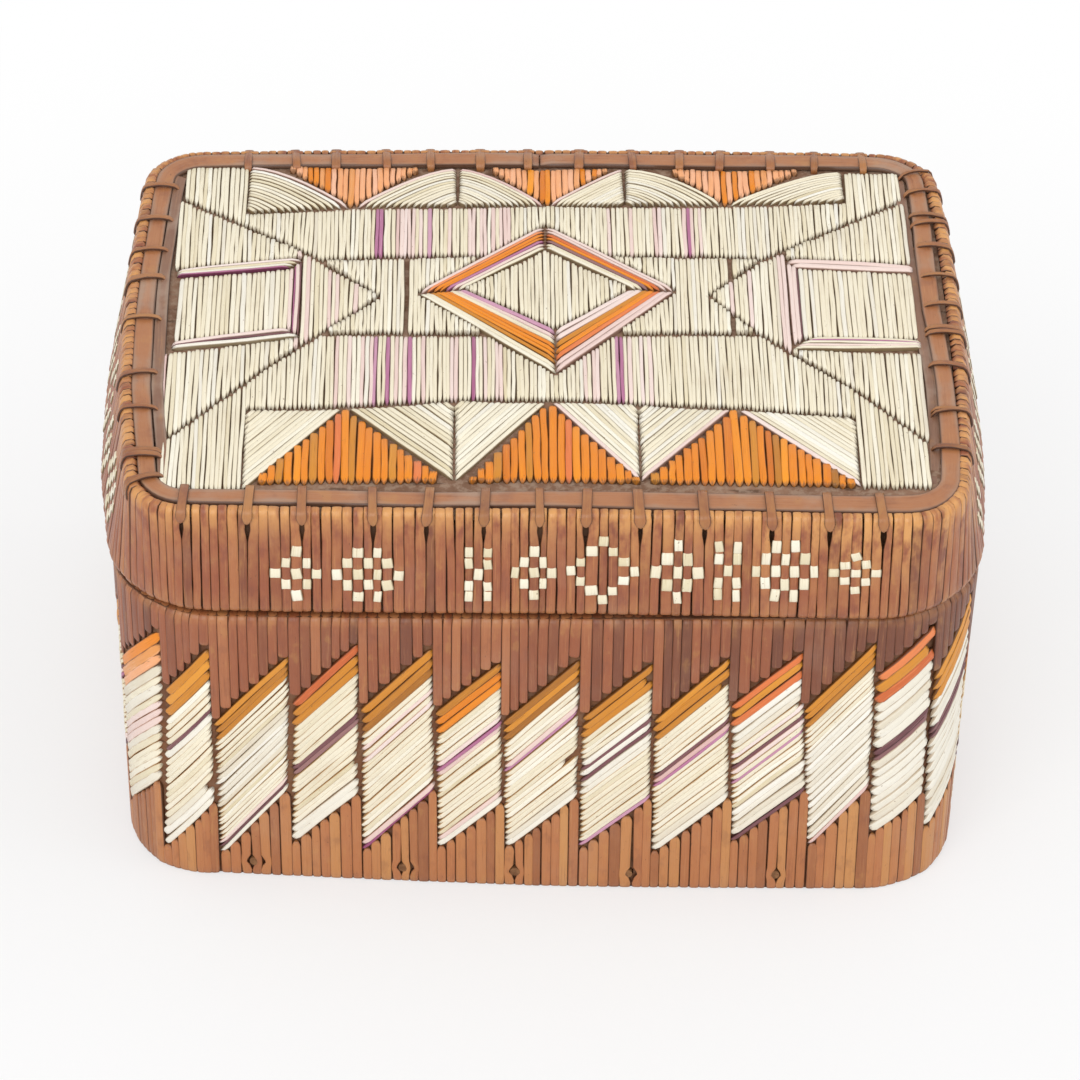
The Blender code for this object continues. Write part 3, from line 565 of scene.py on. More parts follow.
@dataclass
class Outline:
    """The box's outer line seen from above, on which every strip's place is measured.

    A distance of 0 is the middle of the front and grows towards +X and on round the back. The
    line has its own shape at the floor, at the body's top, at the lid's foot and at the lid's
    top, and changes evenly between them. The lid sits a little askew: it stands out at the
    sides and sags at its front right corner.
    """

    side_bow: float = 4.0 * MM
    front_bow: float = 1.4 * MM
    corner: float = 22.5 * MM
    top_corner: float = 12.5 * MM
    top_side_bow: float = 1.6 * MM
    top_draw: Span = (3.9 * MM, 0.9 * MM)
    pushes: tuple[float, float, float] = (-2.6 * MM, 1.1 * MM, 3.1 * MM)
    shift: float = 0.9 * MM
    left_push: float = 1.4 * MM
    right_push: float = 2.0 * MM
    front_push: float = 1.5 * MM
    sag: float = 0.8 * MM

    def __post_init__(self) -> None:
        """Reads the lid's size from its solid and samples the four lines."""
        low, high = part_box("lid_rim_wrap")
        self.foot, self.top = low.z, high.z
        self.half_width = (high.x - low.x) / 2 - self.side_bow
        self.half_depth = (high.y - low.y) / 2 - self.front_bow
        self.runs = (self.half_width - self.corner, self.half_depth - self.corner)
        self.arc = pi * self.corner / 2
        self.length = 4 * (sum(self.runs) + self.arc)
        self.side_middle = self.runs[0] + self.arc + self.runs[1]
        self.stops = np.linspace(-self.length / 2, self.length / 2, 2401)
        wide = self.draw(self.half_width, self.half_depth, self.corner, self.side_bow)
        narrow = self.draw(self.half_width - self.top_draw[0], self.half_depth - self.top_draw[1],
                           self.top_corner, self.top_side_bow)
        bend, end = self.runs[0] + self.arc / 2, self.runs[0] + self.arc
        push = np.interp(self.stops, (-bend, -self.runs[0], 0, bend, end), (0, *self.pushes, 0))
        floor = wide[:, :2] + wide[:, 2:] * push[:, None]
        body = wide[:, :2] + np.column_stack([self.shift * np.abs(wide[:, 2]), 0 * push])
        self.lines = [floor, body, self.askew(wide), self.askew(narrow)]
        ways = [unit(np.gradient(line, axis=0)) for line in self.lines]
        self.faces = [np.stack([ahead[:, 1], -ahead[:, 0]], axis=1) for ahead in ways]

    def askew(self, rows: np.ndarray) -> np.ndarray:
        """Returns one of the lid's lines, pushed out at the sides and the front right.

        Args:
            rows: the line as it is drawn.

        Returns:
            X and Y, one row for each stop.
        """
        x, y = rows[:, 0] / MM, rows[:, 1] / MM
        left = np.interp(y, (-66, -50, -25, 20, 66), (-0.5, -0.1, 1, 1, 0.3)) * self.left_push
        right = np.interp(y, (-70, -45, -25, 35, 70), (0.4, 0.7, 1, 1, 0.5)) * self.right_push
        front = np.interp(x, (0, 40, 70, 90), (0, 0.5, 1, 1)) * self.front_push
        return rows[:, :2] + np.column_stack([
            np.clip(rows[:, 2], 0, 1) * right - np.clip(-rows[:, 2], 0, 1) * left,
            -np.clip(-rows[:, 3], 0, 1) * front])

    def draw(self, half_width: float, half_depth: float, corner: float,
             side_bow: float) -> np.ndarray:
        """Samples one line at every stop.

        Args:
            half_width: half its width without the bow.
            half_depth: half its depth without the bow.
            corner: the radius of its corners.
            side_bow: how far its sides bow out.

        Returns:
            X, Y and the outward X and Y, one row for each stop.
        """
        own, arc = (half_width - corner, half_depth - corner), pi * corner / 2
        length = 4 * (sum(own) + arc)
        rows = []
        for stop in self.stops:
            left = (stop * length / self.length + own[0]) % length
            quarter = 0
            while quarter < 3 and left > 2 * own[quarter % 2] + arc:
                left -= 2 * own[quarter % 2] + arc
                quarter += 1
            along, across = own[quarter % 2], own[1 - quarter % 2]
            turn = quarter * pi / 2
            angle = turn + max(0.0, left - 2 * along) / corner
            ahead = np.array([np.cos(turn), np.sin(turn)])
            normal = np.array([np.sin(angle), -np.cos(angle)])
            spot = (np.array([ahead[1], -ahead[0]]) * across + normal * corner
                    + ahead * (min(left, 2 * along) - along))
            swell = (side_bow * max(0.0, 1 - (spot[1] / half_depth) ** 2),
                     self.front_bow * max(0.0, 1 - (spot[0] / half_width) ** 2))
            rows.append((*(spot + normal * swell), *normal))
        return np.array(rows)

    def wrap(self, distance: Number) -> Number:
        """Returns a distance brought into the sampled range."""
        return (np.asarray(distance) + self.length / 2) % self.length - self.length / 2

    def blend(self, tables: list[np.ndarray], distance: Number, height: Number) -> np.ndarray:
        """Blends four tables by height.

        Args:
            tables: X and Y at every stop, from the floor to the lid's top.
            distance: how far round the line.
            height: how high above the floor.

        Returns:
            X and Y, one row for each place.
        """
        distance, height = np.broadcast_arrays(np.atleast_1d(distance).astype(float), height)
        low = np.clip(1 - height / self.foot, 0, 1)
        high = np.clip((height - self.foot) / (self.top - self.foot), 0, 1)
        lid = (height > self.foot).astype(float)
        shares = (low, (1 - low) * (1 - lid), (1 - high) * lid, high)
        return sum(share[:, None] * np.column_stack([
            np.interp(self.wrap(distance), self.stops, column) for column in table.T])
            for share, table in zip(shares, tables))

    def outward(self, distance: Number, height: Number) -> np.ndarray:
        """Returns the level vectors that face out of the box at these places."""
        flat = self.blend(self.faces, distance, height)
        return unit(np.column_stack([flat, np.zeros(len(flat))]))

    def spot(self, distance: Number, inset: Number, height: Number) -> np.ndarray:
        """Returns points inside the line.

        Args:
            distance: how far round the line.
            inset: how far in from it.
            height: how high above the floor.

        Returns:
            One point a row.
        """
        distance, inset, height = np.broadcast_arrays(
            np.atleast_1d(distance).astype(float), inset, height)
        points = np.column_stack([self.blend(self.lines, distance, height), height])
        points -= self.outward(distance, height) * inset[:, None]
        right = np.clip(points[:, 0] / MM / 60 - 0.3, 0, 1)
        front = np.clip(-points[:, 1] / MM / 40 - 0.5, 0, 1)
        points[:, 2] -= self.sag * right * front * (height > self.foot)
        return points

    def stretch(self, distance: Number, height: Number) -> np.ndarray:
        """Returns how long a metre of distance is at these places."""
        gap = self.spot(distance + MM / 2, 0.0, height) - self.spot(distance - MM / 2, 0.0, height)
        return np.linalg.norm(gap, axis=1) / MM

    def find(self, value: float, height: float, side: str) -> float:
        """Returns the distance where a face has a place.

        Args:
            value: its X on the front and back, its Y on the right and left.
            height: how high it is.
            side: the face's name.

        Returns:
            The distance.
        """
        quarter = SIDES.index(side)
        middle = (0, self.side_middle, self.length / 2, -self.side_middle)[quarter]
        reach = self.runs[quarter % 2] + self.arc * 0.6
        stops = middle + np.linspace(-reach, reach, 300)
        places = self.spot(stops, 0.0, height)[:, quarter % 2]
        order = np.argsort(places)
        return float(self.wrap(np.interp(value, places[order], stops[order])))


class Workshop:
    """What all sub-assemblies share: the outline, the blanks, the finishes and the piles."""

    def __init__(self) -> None:
        """Models the blanks."""
        self.outline = Outline()
        tuck = (((.30, .76), (.76, .30)), ((.15, .65), (.65, .15)))
        evenly = {count: tuple(i / (count - 1) for i in range(count)) for count in (10, 12, 14, 240)}
        short = (0, .03, .085, .37, .63, .915, .97, 1)
        self.quill = Blank(short, *tuck)
        self.flat_quill = Blank(short, *tuck, 0.24)
        self.long_quill = Blank((0, .02, .06, .2, .35, .5, .65, .8, .94, .98, 1), *tuck)
        self.bar = Blank(evenly[10], ((.30, .68, .92), (.9,)), ((.30, .75, .95), (.8,)), 0.36, 3)
        self.turn = Blank(evenly[12], ((), (.7,)), ((.8,), (.35,)), 0.36, 3)
        self.stitch = Blank(evenly[14], ((), ()), ((.3, .8), (.5,)), 0.28)
        self.square = Blank((0, .14, .5, .86, 1), ((.92,), (.92,)), ((.35,), (.35,)), 0.25)
        self.hoop = Blank(evenly[240], ((), ()), ((.6,), (.6,)), 0.16)
        self.piles: dict[tuple[str, Dye], Pile] = {}
        self.materials: dict[Dye, bpy.types.Material] = {}

    def pile(self, region: str, dye: Dye, body: str) -> Pile:
        """Returns the pile of one dye in one region.

        Args:
            region: the region's name.
            dye: the dye.
            body: the body that it moves with.

        Returns:
            The pile, started when first asked for.
        """
        if (region, dye) not in self.piles:
            label = FINISHES[dye].name.replace("_quill", "").replace("_root", "")
            self.piles[region, dye] = Pile(f"{region}_{label}", dye, body)
        return self.piles[region, dye]

    def make(self, region: str, nodes: Sequence[str] = ()) -> None:
        """Makes every pile of a region, the first of which stands for its solids.

        Args:
            region: the region's name.
            nodes: the solids that its strips stand for.
        """
        held = [pile for (place, _), pile in self.piles.items() if place == region]
        for index, pile in enumerate(sorted(held, key=lambda pile: -pile.strips)):
            if pile.dye not in self.materials:
                self.materials[pile.dye] = FINISHES[pile.dye].build()
            pile.make(self.materials[pile.dye], nodes if index == 0 else ())


def thread_widths(letters: str, total: float) -> list[float]:
    """Returns the widths of a bar's quills, the dark ones thin."""
    wide = [0.45 if letter in "MP" else 1.0 for letter in letters]
    return [share * total / sum(wide) for share in wide]


@dataclass(frozen=True)
class Inset:
    """The framed square at one end, in millimetres.

    Its rows are the frame's four edges from back to front, each at the outer and the inner end.
    """

    outer: float
    inner: float
    bar: float
    rows: Knots
    starts: Span
    upright: str
    levels: tuple[str, str]

    def edge(self, row: int, x: float) -> float:
        """Returns where one of the frame's edges runs at x."""
        share = (x - self.outer) / (self.inner - self.outer)
        return self.rows[row][0] * (1 - share) + self.rows[row][1] * share


@dataclass(frozen=True)
class Band:
    """The triangles and fans along one edge of the lid's top, in millimetres."""

    name: str
    row: int
    apexes: tuple[float, ...]
    bases: Knots
    seams: Span
    blocks: Span
    edge: Knots
    pitch: float
    curved: bool


@dataclass
class QuillField:
    """The quills on the lid's top. Places are in millimetres on the panel, X right and Y back."""

    shop: Workshop
    row_pitch: float = 0.95
    side_pitch: float = 1.04
    block_pitch: float = 1.02
    square_pitch: float = 1.12
    quill_height: float = 1.12
    shortest_quill: float = 1.4
    shortest_span: float = 1.9
    long_from: float = 26.0
    seam_gap: float = 0.20
    fan_quills: int = 15
    middle_row: Span = (-52.0, 52.0)
    back_sides: Span = (-83.9, 85.4)
    front_sides: Span = (-85.1, 85.4)
    row_lines: tuple[Knots, ...] = (
        ((-85, 42.0), (-67, 43.2), (-44, 45.8), (0, 46.7), (40, 46.9), (73, 48.4), (86, 48.6)),
        ((-85, 23.6), (-55, 24.0), (-45, 24.7), (-35, 25.8), (0, 26.1), (40, 26.3), (50, 25.2),
         (86, 24.0)),
        ((-85, -5.0), (-45, -4.2), (0, -4.4), (40, -3.9), (86, -4.4)),
        ((-85, -33.2), (-67, -33.0), (-49, -32.2), (-16, -29.3), (10, -29.4), (22, -30.9),
         (43, -31.9), (70, -35.4), (86, -35.7)))
    left_back: Knots = ((-86.5, 50.2), (-54.4, 27.1), (-37.3, 10.1))
    left_front: Knots = ((-86.5, -46.4), (-62.4, -17.0), (-53.9, -7.6), (-37.3, 10.1))
    right_back: Knots = ((38.6, 10.9), (50.6, 24.4), (86.5, 49.7))
    right_front: Knots = ((38.6, 10.9), (49.3, -3.6), (72.0, -26.8), (86.5, -45.4))
    diamond: Knots = ((-28.7, 11.8), (1.0, 38.6), (31.1, 12.8), (2.9, -19.4))
    diamond_core: Knots = ((-18.7, 13.2), (1.0, 29.6), (21.3, 13.5), (3.0, -2.6))
    diamond_sides: tuple[str, ...] = ("REOOMRC", "RREOPCC", "RREOARR", "CCAOOOCRM")
    back: Band = Band(
        "back", 0, (-44.2, 1.6, 43.6), ((-61.1, -27.3), (-13.0, 17.9), (29.8, 63.2)),
        (-19.5, 19.9), (-69.4, 72.3), ((-85, 63.1), (-66, 62.8), (-62, 62.6), (0, 62.1),
                                       (60, 61.7), (70, 61.3), (85, 60.8)), 1.40, True)
    front: Band = Band(
        "front", 3, (-44.6, 1.2, 42.9), ((-65.4, -21.4), (-17.0, 21.4), (21.4, 70.4)),
        (-20.0, 21.2), (-67.0, 70.0), ((-85, -62.8), (-66, -62.4), (-62, -59.6), (0, -58.7),
                                       (60, -60.0), (70, -60.7), (85, -60.9)), 1.78, False)
    insets: tuple[Inset, ...] = (
        Inset(-83.8, -55.7, 2.7, ((20.2, 24.8), (17.4, 21.7), (-7.8, -2.3), (-10.6, -5.4)),
              (-86.1, -85.2), "RMRP", ("RCIM", "RPI")),
        Inset(86.0, 57.2, 2.5, ((22.8, 25.1), (19.7, 22.1), (-6.0, -5.6), (-10.2, -9.6)),
              (57.2, 57.2), "PRR", ("RR", "CMCRC")))
    accents: tuple[tuple[tuple[float, float, Optional[Dye]], ...], ...] = (
        ((-37.9, 1.1, Dye.MAGENTA), (-25.8, 0.5, Dye.MAGENTA), (22.7, 0.5, Dye.MAGENTA),
         (34.4, 0.6, Dye.MAGENTA), (37.6, 0.5, Dye.ROSE), (47.2, 1.0, Dye.IVORY)),
        ((-31.2, 0.6, None), (43.6, 0.5, None), (-12.0, 0.5, Dye.ROSE)),
        ((-38.2, 0.4, Dye.MAGENTA), (-35.0, 0.5, Dye.MAGENTA), (-30.6, 0.5, Dye.MAGENTA),
         (17.4, 0.5, Dye.MAGENTA), (22.6, 0.5, Dye.ROSE), (-16.0, 0.5, Dye.MAGENTA)))
    rosy: tuple[tuple[tuple[float, float, float], ...], ...] = (
        ((-34.0, -6.0, 0.42), (14.0, 40.0, 0.25)), ((-20.0, 20.0, 0.10),),
        ((-47.0, -8.0, 0.34), (8.0, 30.0, 0.30)))

    def __post_init__(self) -> None:
        """Finds the panel's top and starts the chances."""
        self.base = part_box("lid_top_panel")[1].z + 0.04 * MM
        self.chance = np.random.default_rng(11)

    def pick(self, share: float, rare: Dye = Dye.IVORY, common: Dye = Dye.CREAM) -> Dye:
        """Returns the rare dye by chance, or the common one."""
        return rare if self.chance.uniform() < share else common

    def chevron(self, x: float) -> Optional[Span]:
        """Finds how far the triangle at either end reaches.

        Args:
            x: the place along the panel.

        Returns:
            Its front and back there, or nothing between the two triangles.
        """
        if self.left_back[-1][0] <= x <= self.right_back[0][0]:
            return None
        front, back = ((self.left_front, self.left_back) if x < 0 else
                       (self.right_front, self.right_back))
        return level_at(front, x), level_at(back, x)

    def lozenge(self, corners: Knots, x: float) -> Optional[Span]:
        """Finds how far a diamond reaches.

        Args:
            corners: its left, back, right and front corner.
            x: the place along the panel.

        Returns:
            Its front and back there, or nothing beside it.
        """
        left, back, right, front = corners
        if not left[0] < x < right[0]:
            return None
        return level_at((left, front, right), x), level_at((left, back, right), x)

    def strand(self, region: str, dye: Dye, start: Sequence[float], end: Sequence[float],
               width: float, via: Optional[Span] = None, lift: float = 0.0,
               wave: float = 0.10) -> None:
        """Lays one quill on the panel.

        Args:
            region: the pile's region.
            dye: its colour.
            start: one end, X and Y.
            end: the other end.
            width: its width.
            via: a point that pulls it into a curve.
            lift: how much it lies above its neighbours.
            wave: how far it strays sideways.
        """
        start, end = np.array(start, float), np.array(end, float)
        length = float(np.linalg.norm(end - start))
        if length < self.shortest_quill:
            return
        short = via is None and length < self.long_from
        blank = self.shop.quill if short else self.shop.long_quill
        share = blank.part[:, None]
        pull = (start + end) / 2 if via is None else np.array(via)
        flat = start * (1 - share) ** 2 + 2 * pull * share * (1 - share) + end * share ** 2
        ahead = (end - start) / length
        side = np.array([-ahead[1], ahead[0]])
        phase, turns = self.chance.uniform(0, 6.3), self.chance.uniform(0.5, 1.6)
        sway = np.sin(phase + share * turns * 2 * pi) * wave * self.chance.uniform(0.3, 1.0)
        dip = self.chance.uniform(-0.06, 0.06) + lift
        spine = np.column_stack([(flat + side * sway) * MM,
                                 np.full(len(flat), self.base + dip * MM)])
        out = UP + np.array([*side, 0.0]) * self.chance.uniform(-0.14, 0.14)
        shade = shade_by(self.chance, 0.05, 0.33)
        height = self.quill_height * self.chance.uniform(0.93, 1.06)
        self.shop.pile(region, dye, "lid").lay(
            blank, spine, out, width * self.chance.uniform(0.98, 1.08) * MM, height * MM, shade)

    def uprights(self, region: str, low: float, high: float, pitch: float,
                 spans: Callable[[float], list[Span]],
                 dye: Callable[[float], Optional[Dye]]) -> None:
        """Lays upright quills side by side.

        Args:
            region: the pile's region.
            low: the X that they start at.
            high: the X that they end at.
            pitch: their spacing.
            spans: gives the stretches that are covered at x.
            dye: gives the colour at x, or nothing where a quill is missing.
        """
        for x, size in split(self.chance, low, high, max(1, round((high - low) / pitch)), 0.14):
            colour = dye(x)
            for near, far in spans(x) if colour else ():
                trim = self.seam_gap + self.chance.uniform(-0.2, 0.25, 2)
                lean = self.chance.normal(0, 0.07)
                self.strand(region, colour, (x - lean, near + trim[0]), (x + lean, far - trim[1]),
                            size)

    def clear(self, span: Span, blocks: Sequence[Optional[Span]]) -> list[Span]:
        """Returns what is left of a stretch when blocks are cut out of it.

        Args:
            span: the stretch.
            blocks: what is cut out, or nothing.

        Returns:
            The stretches that are long enough for a quill.
        """
        spans = [span]
        for near, far in filter(None, blocks):
            spans = [part for start, end in spans
                     for part in ((start, min(end, near)), (max(start, far), end))]
        return [(start, end) for start, end in spans if end - start > self.shortest_span]

    def row_dye(self, row: int, x: float) -> Optional[Dye]:
        """Picks a colour in a long row.

        Args:
            row: the row, from the back.
            x: the place along it.

        Returns:
            The colour, or nothing where a quill is missing.
        """
        for centre, half, colour in self.accents[row]:
            if abs(x - centre) < half:
                return colour
        for low, high, share in self.rosy[row]:
            if low < x < high and self.chance.uniform() < share:
                return Dye.ROSE
        return self.pick(0.05)

    def lay_rows(self) -> None:
        """Lays the three long rows and the upright blocks at the four corners."""
        for row, limits in enumerate((self.back.blocks, self.middle_row, self.front.blocks)):
            self.uprights(
                "lid_rows", *limits, self.row_pitch,
                lambda x: self.clear((level_at(self.row_lines[row + 1], x),
                                      level_at(self.row_lines[row], x)),
                                     [self.chevron(x), self.lozenge(self.diamond, x)]),
                lambda x: self.row_dye(row, x))
        for band, sides in ((self.back, self.back_sides), (self.front, self.front_sides)):
            for low, high in zip((sides[0], band.blocks[1]), (band.blocks[0], sides[1])):
                self.uprights(
                    "lid_rows", low, high, self.block_pitch,
                    lambda x: [(self.chevron(x)[1], level_at(band.edge, x)) if band.curved else
                               (level_at(band.edge, x), self.chevron(x)[0])],
                    lambda x: self.pick(0.08))

    def lay_end(self, inset: Inset) -> None:
        """Lays the triangle at one end, with its framed square.

        Args:
            inset: the framed square.
        """
        outer, inner, bar = inset.outer, inset.inner, inset.bar
        sign = 1 if outer < inner else -1
        near, far = min(outer, inner), max(outer, inner)
        begin, bare = inset.starts

        def beside(x: float) -> list[Span]:
            """Finds the stretches behind and in front of the frame.

            Args:
                x: the place along the lid.

            Returns:
                The stretches that are long enough for a quill.
            """
            low, high = self.chevron(x)
            top, foot = inset.edge(0, x), inset.edge(3, x)
            spans = [(top + 0.2, high)] if high > top + 1.6 and x > bare else []
            return spans + ([(low, foot - 0.2)] if low < foot - 1.6 else [])

        def dye(x: float) -> Dye:
            """Returns the triangle's colour at x."""
            return Dye.ROSE if self.chance.uniform() < 0.10 else self.pick(0.10)

        self.uprights("lid_ends", begin, far, self.side_pitch, beside, dye)
        apex = (self.left_back[-1] if sign > 0 else self.right_back[0])[0]
        low, high = sorted((inner + sign * 0.3, apex - sign * 0.9))
        self.uprights("lid_ends", low, high, self.side_pitch, lambda x: [self.chevron(x)], dye)
        square = (near, far - bar) if sign > 0 else (near + bar, far)
        self.uprights("insets", *square, self.square_pitch,
                      lambda x: [(inset.edge(2, x) - 0.4, inset.edge(1, x) + 0.5)],
                      lambda x: self.pick(0.12))
        x = inner - sign * bar
        for index, (letter, width) in enumerate(zip(inset.upright,
                                                    thread_widths(inset.upright, bar))):
            middle = x + sign * width / 2
            x += sign * width
            self.strand("insets", Dye(letter), (middle, inset.edge(2, middle) - 0.4 - index * 0.7),
                        (middle + sign * 0.1, inset.edge(1, middle) + 0.4 + index * 0.7),
                        width * 1.04, lift=0.05)
        for letters, first in zip(inset.levels, (0, 2)):
            (far_top, top), (far_foot, foot) = inset.rows[first:first + 2]
            y = top
            for index, (letter, width) in enumerate(zip(letters,
                                                        thread_widths(letters, top - foot))):
                y -= width
                height = y + width / 2
                order = len(letters) - 1 - index if first else index
                end = inner - sign * 0.9 * order
                rise = height - (top + foot) / 2
                pinch = (far_top + far_foot) / 2 + rise * 0.40
                curve = pinch + (height - pinch) * 0.33 + rise * 0.8 + 0.5
                self.strand("insets", Dye(letter), (outer - sign * 0.7, pinch), (end, height),
                            width * 1.02, via=((outer * 2 + end) / 3, curve), lift=0.06)

    def half_fan(self, band: Band, apex: float, corner: float, seam: float) -> None:
        """Lays the quills between a triangle's side and an upright seam.

        Args:
            band: the band that it belongs to.
            apex: X of the triangle's tip.
            corner: X of the triangle's corner on the field's edge.
            seam: X of the seam.
        """
        rim, foot = level_at(band.edge, seam), level_at(self.row_lines[band.row], seam)
        inward = 1.0 if rim < 0 else -1.0
        for index in range(self.fan_quills):
            share = (index + 0.5) / self.fan_quills
            x = apex + (seam - apex) * share
            start = (x + (seam - x) * 0.02, level_at(self.row_lines[band.row], x) - inward * 0.35)
            head = rim + inward * 0.55 + (foot - rim - inward * 0.9) * share
            end = (seam + np.sign(apex - seam) * 0.30, head)
            via = (seam + (corner - seam) * (1 - share) * 1.05, head + inward * 0.10)
            across, along = abs(end[0] - start[0]), abs(end[1] - start[1])
            width = min(abs(seam - apex) * along, abs(foot - rim) * across
                        + 0.25 * self.fan_quills * hypot(across, along))
            width = max(0.86, min(1.25, width / self.fan_quills / hypot(across, along)))
            roll = self.chance.uniform()
            dye = Dye.CREAM if roll < 0.80 else Dye.IVORY
            self.strand(f"lid_fans_{band.name}", Dye.ROSE if index == 0 and roll > 0.35 else dye,
                        start, end, width, via=via if band.curved else None, wave=0.06)

    def triangle_dye(self, band: Band) -> Dye:
        """Picks a colour in a triangle by chance.

        Args:
            band: the band that the triangle belongs to.

        Returns:
            The colour.
        """
        roll = self.chance.uniform()
        if band.curved:
            return Dye.FADED if roll < 0.88 else Dye.ORANGE
        return Dye.ORANGE if roll < 0.88 else (Dye.AMBER if roll < 0.98 else Dye.EMBER)

    def lay_band(self, band: Band) -> None:
        """Lays the triangles and fans along one edge.

        Args:
            band: the edge's band.
        """
        bounds = (band.blocks[0], *band.seams, band.blocks[1])
        for index, (apex, (low, high)) in enumerate(zip(band.apexes, band.bases)):
            self.half_fan(band, apex, low, bounds[index])
            self.half_fan(band, apex, high, bounds[index + 1])
            tip = level_at(self.row_lines[band.row], apex)

            def spans(x: float) -> list[Span]:
                """Finds the triangle's stretch at one place.

                Args:
                    x: the place along the lid.

                Returns:
                    The stretch from the rim to the triangle's side, if it holds a quill.
                """
                rim = level_at(band.edge, x)
                side = float(np.interp(x, (low, apex, high), (rim, tip, rim)))
                return [(min(rim, side), max(rim, side))] if abs(rim - side) > 1.5 else []

            self.uprights(f"lid_triangles_{band.name}", low + 0.3, high - 0.3, band.pitch, spans,
                          lambda x: self.triangle_dye(band))

    def lay_diamond(self) -> None:
        """Lays the diamond's four bands and its cream core."""
        outer, core = np.array(self.diamond), np.array(self.diamond_core)
        for side, letters in enumerate(self.diamond_sides):
            ends = [side, (side + 1) % 4]
            for index, letter in enumerate(letters):
                share = (index + 0.5) / len(letters)
                first, last = outer[ends] * (1 - share) + core[ends] * share
                ahead = unit(last - first)
                steps = (core - outer)[ends]
                depth = np.abs(ahead[0] * steps[:, 1] - ahead[1] * steps[:, 0]).sum() / 2
                self.strand("lid_diamond", Dye(letter), first + ahead * 0.2, last - ahead * 0.2,
                            depth / len(letters) * 1.04, wave=0.08)

        def spans(x: float) -> list[Span]:
            """Returns the core's stretch at x."""
            reach = self.lozenge(self.diamond_core, x)
            return [(reach[0] + 0.2, reach[1] - 0.2)] if reach else []

        self.uprights("lid_diamond", core[0][0] + 1.0, core[2][0] - 1.0, self.row_pitch, spans,
                      lambda x: self.pick(0.2))

    def build(self) -> None:
        """Lays all quills of the lid's top and makes their pieces."""
        self.lay_rows()
        for inset in self.insets:
            self.lay_end(inset)
        for band in (self.back, self.front):
            self.lay_band(band)
        self.lay_diamond()
        self.shop.make("lid_rows", ["quill_ground"])
        self.shop.make("lid_ends")
        self.shop.make("insets", ["inset_left", "inset_right", "inset_bars_left",
                                  "inset_bars_right"])
        for name in ("back", "front"):
            self.shop.make(f"lid_fans_{name}", [f"fan_{name}_{i}" for i in range(1, 5)])
            self.shop.make(f"lid_triangles_{name}", [f"triangle_{name}_{i}" for i in range(1, 4)])
        self.shop.make("lid_diamond", ["diamond_border", "diamond_centre"])


class Motif(Enum):
    """Figures woven into the lid's rim, as rules on a square's column and row."""

    NINE = "nine"
    DOUBLE = "double"
    HOLLOW = "hollow"
    LADDER = "ladder"

    def filled(self, i: int, j: int) -> bool:
        """Tells where the figure has its squares.

        Args:
            i: the column from the figure's middle.
            j: the row from the figure's middle.

        Returns:
            Whether there is a square.
        """
        if self is Motif.NINE:
            return (i + j) % 2 == 0 and abs(i) + abs(j) <= 2
        if self is Motif.DOUBLE:
            return (i + j) % 2 == 1 and abs(j) <= 2 and abs(i) + abs(j) <= 3
        if self is Motif.HOLLOW:
            return abs(i) + abs(j) == 3
        return (abs(i) == 1 and 1 <= abs(j) <= 2) or (i == 0 and j == 0)


@dataclass(frozen=True)
class Lashing:
    """One kind of strand that winds over the hoop, in millimetres.

    Its path gives the inset, the rise over the rim's top and the share of its width.
    """

    width: float
    spread: Span
    slant: float
    height: float
    path: tuple[tuple[float, float, float], ...]


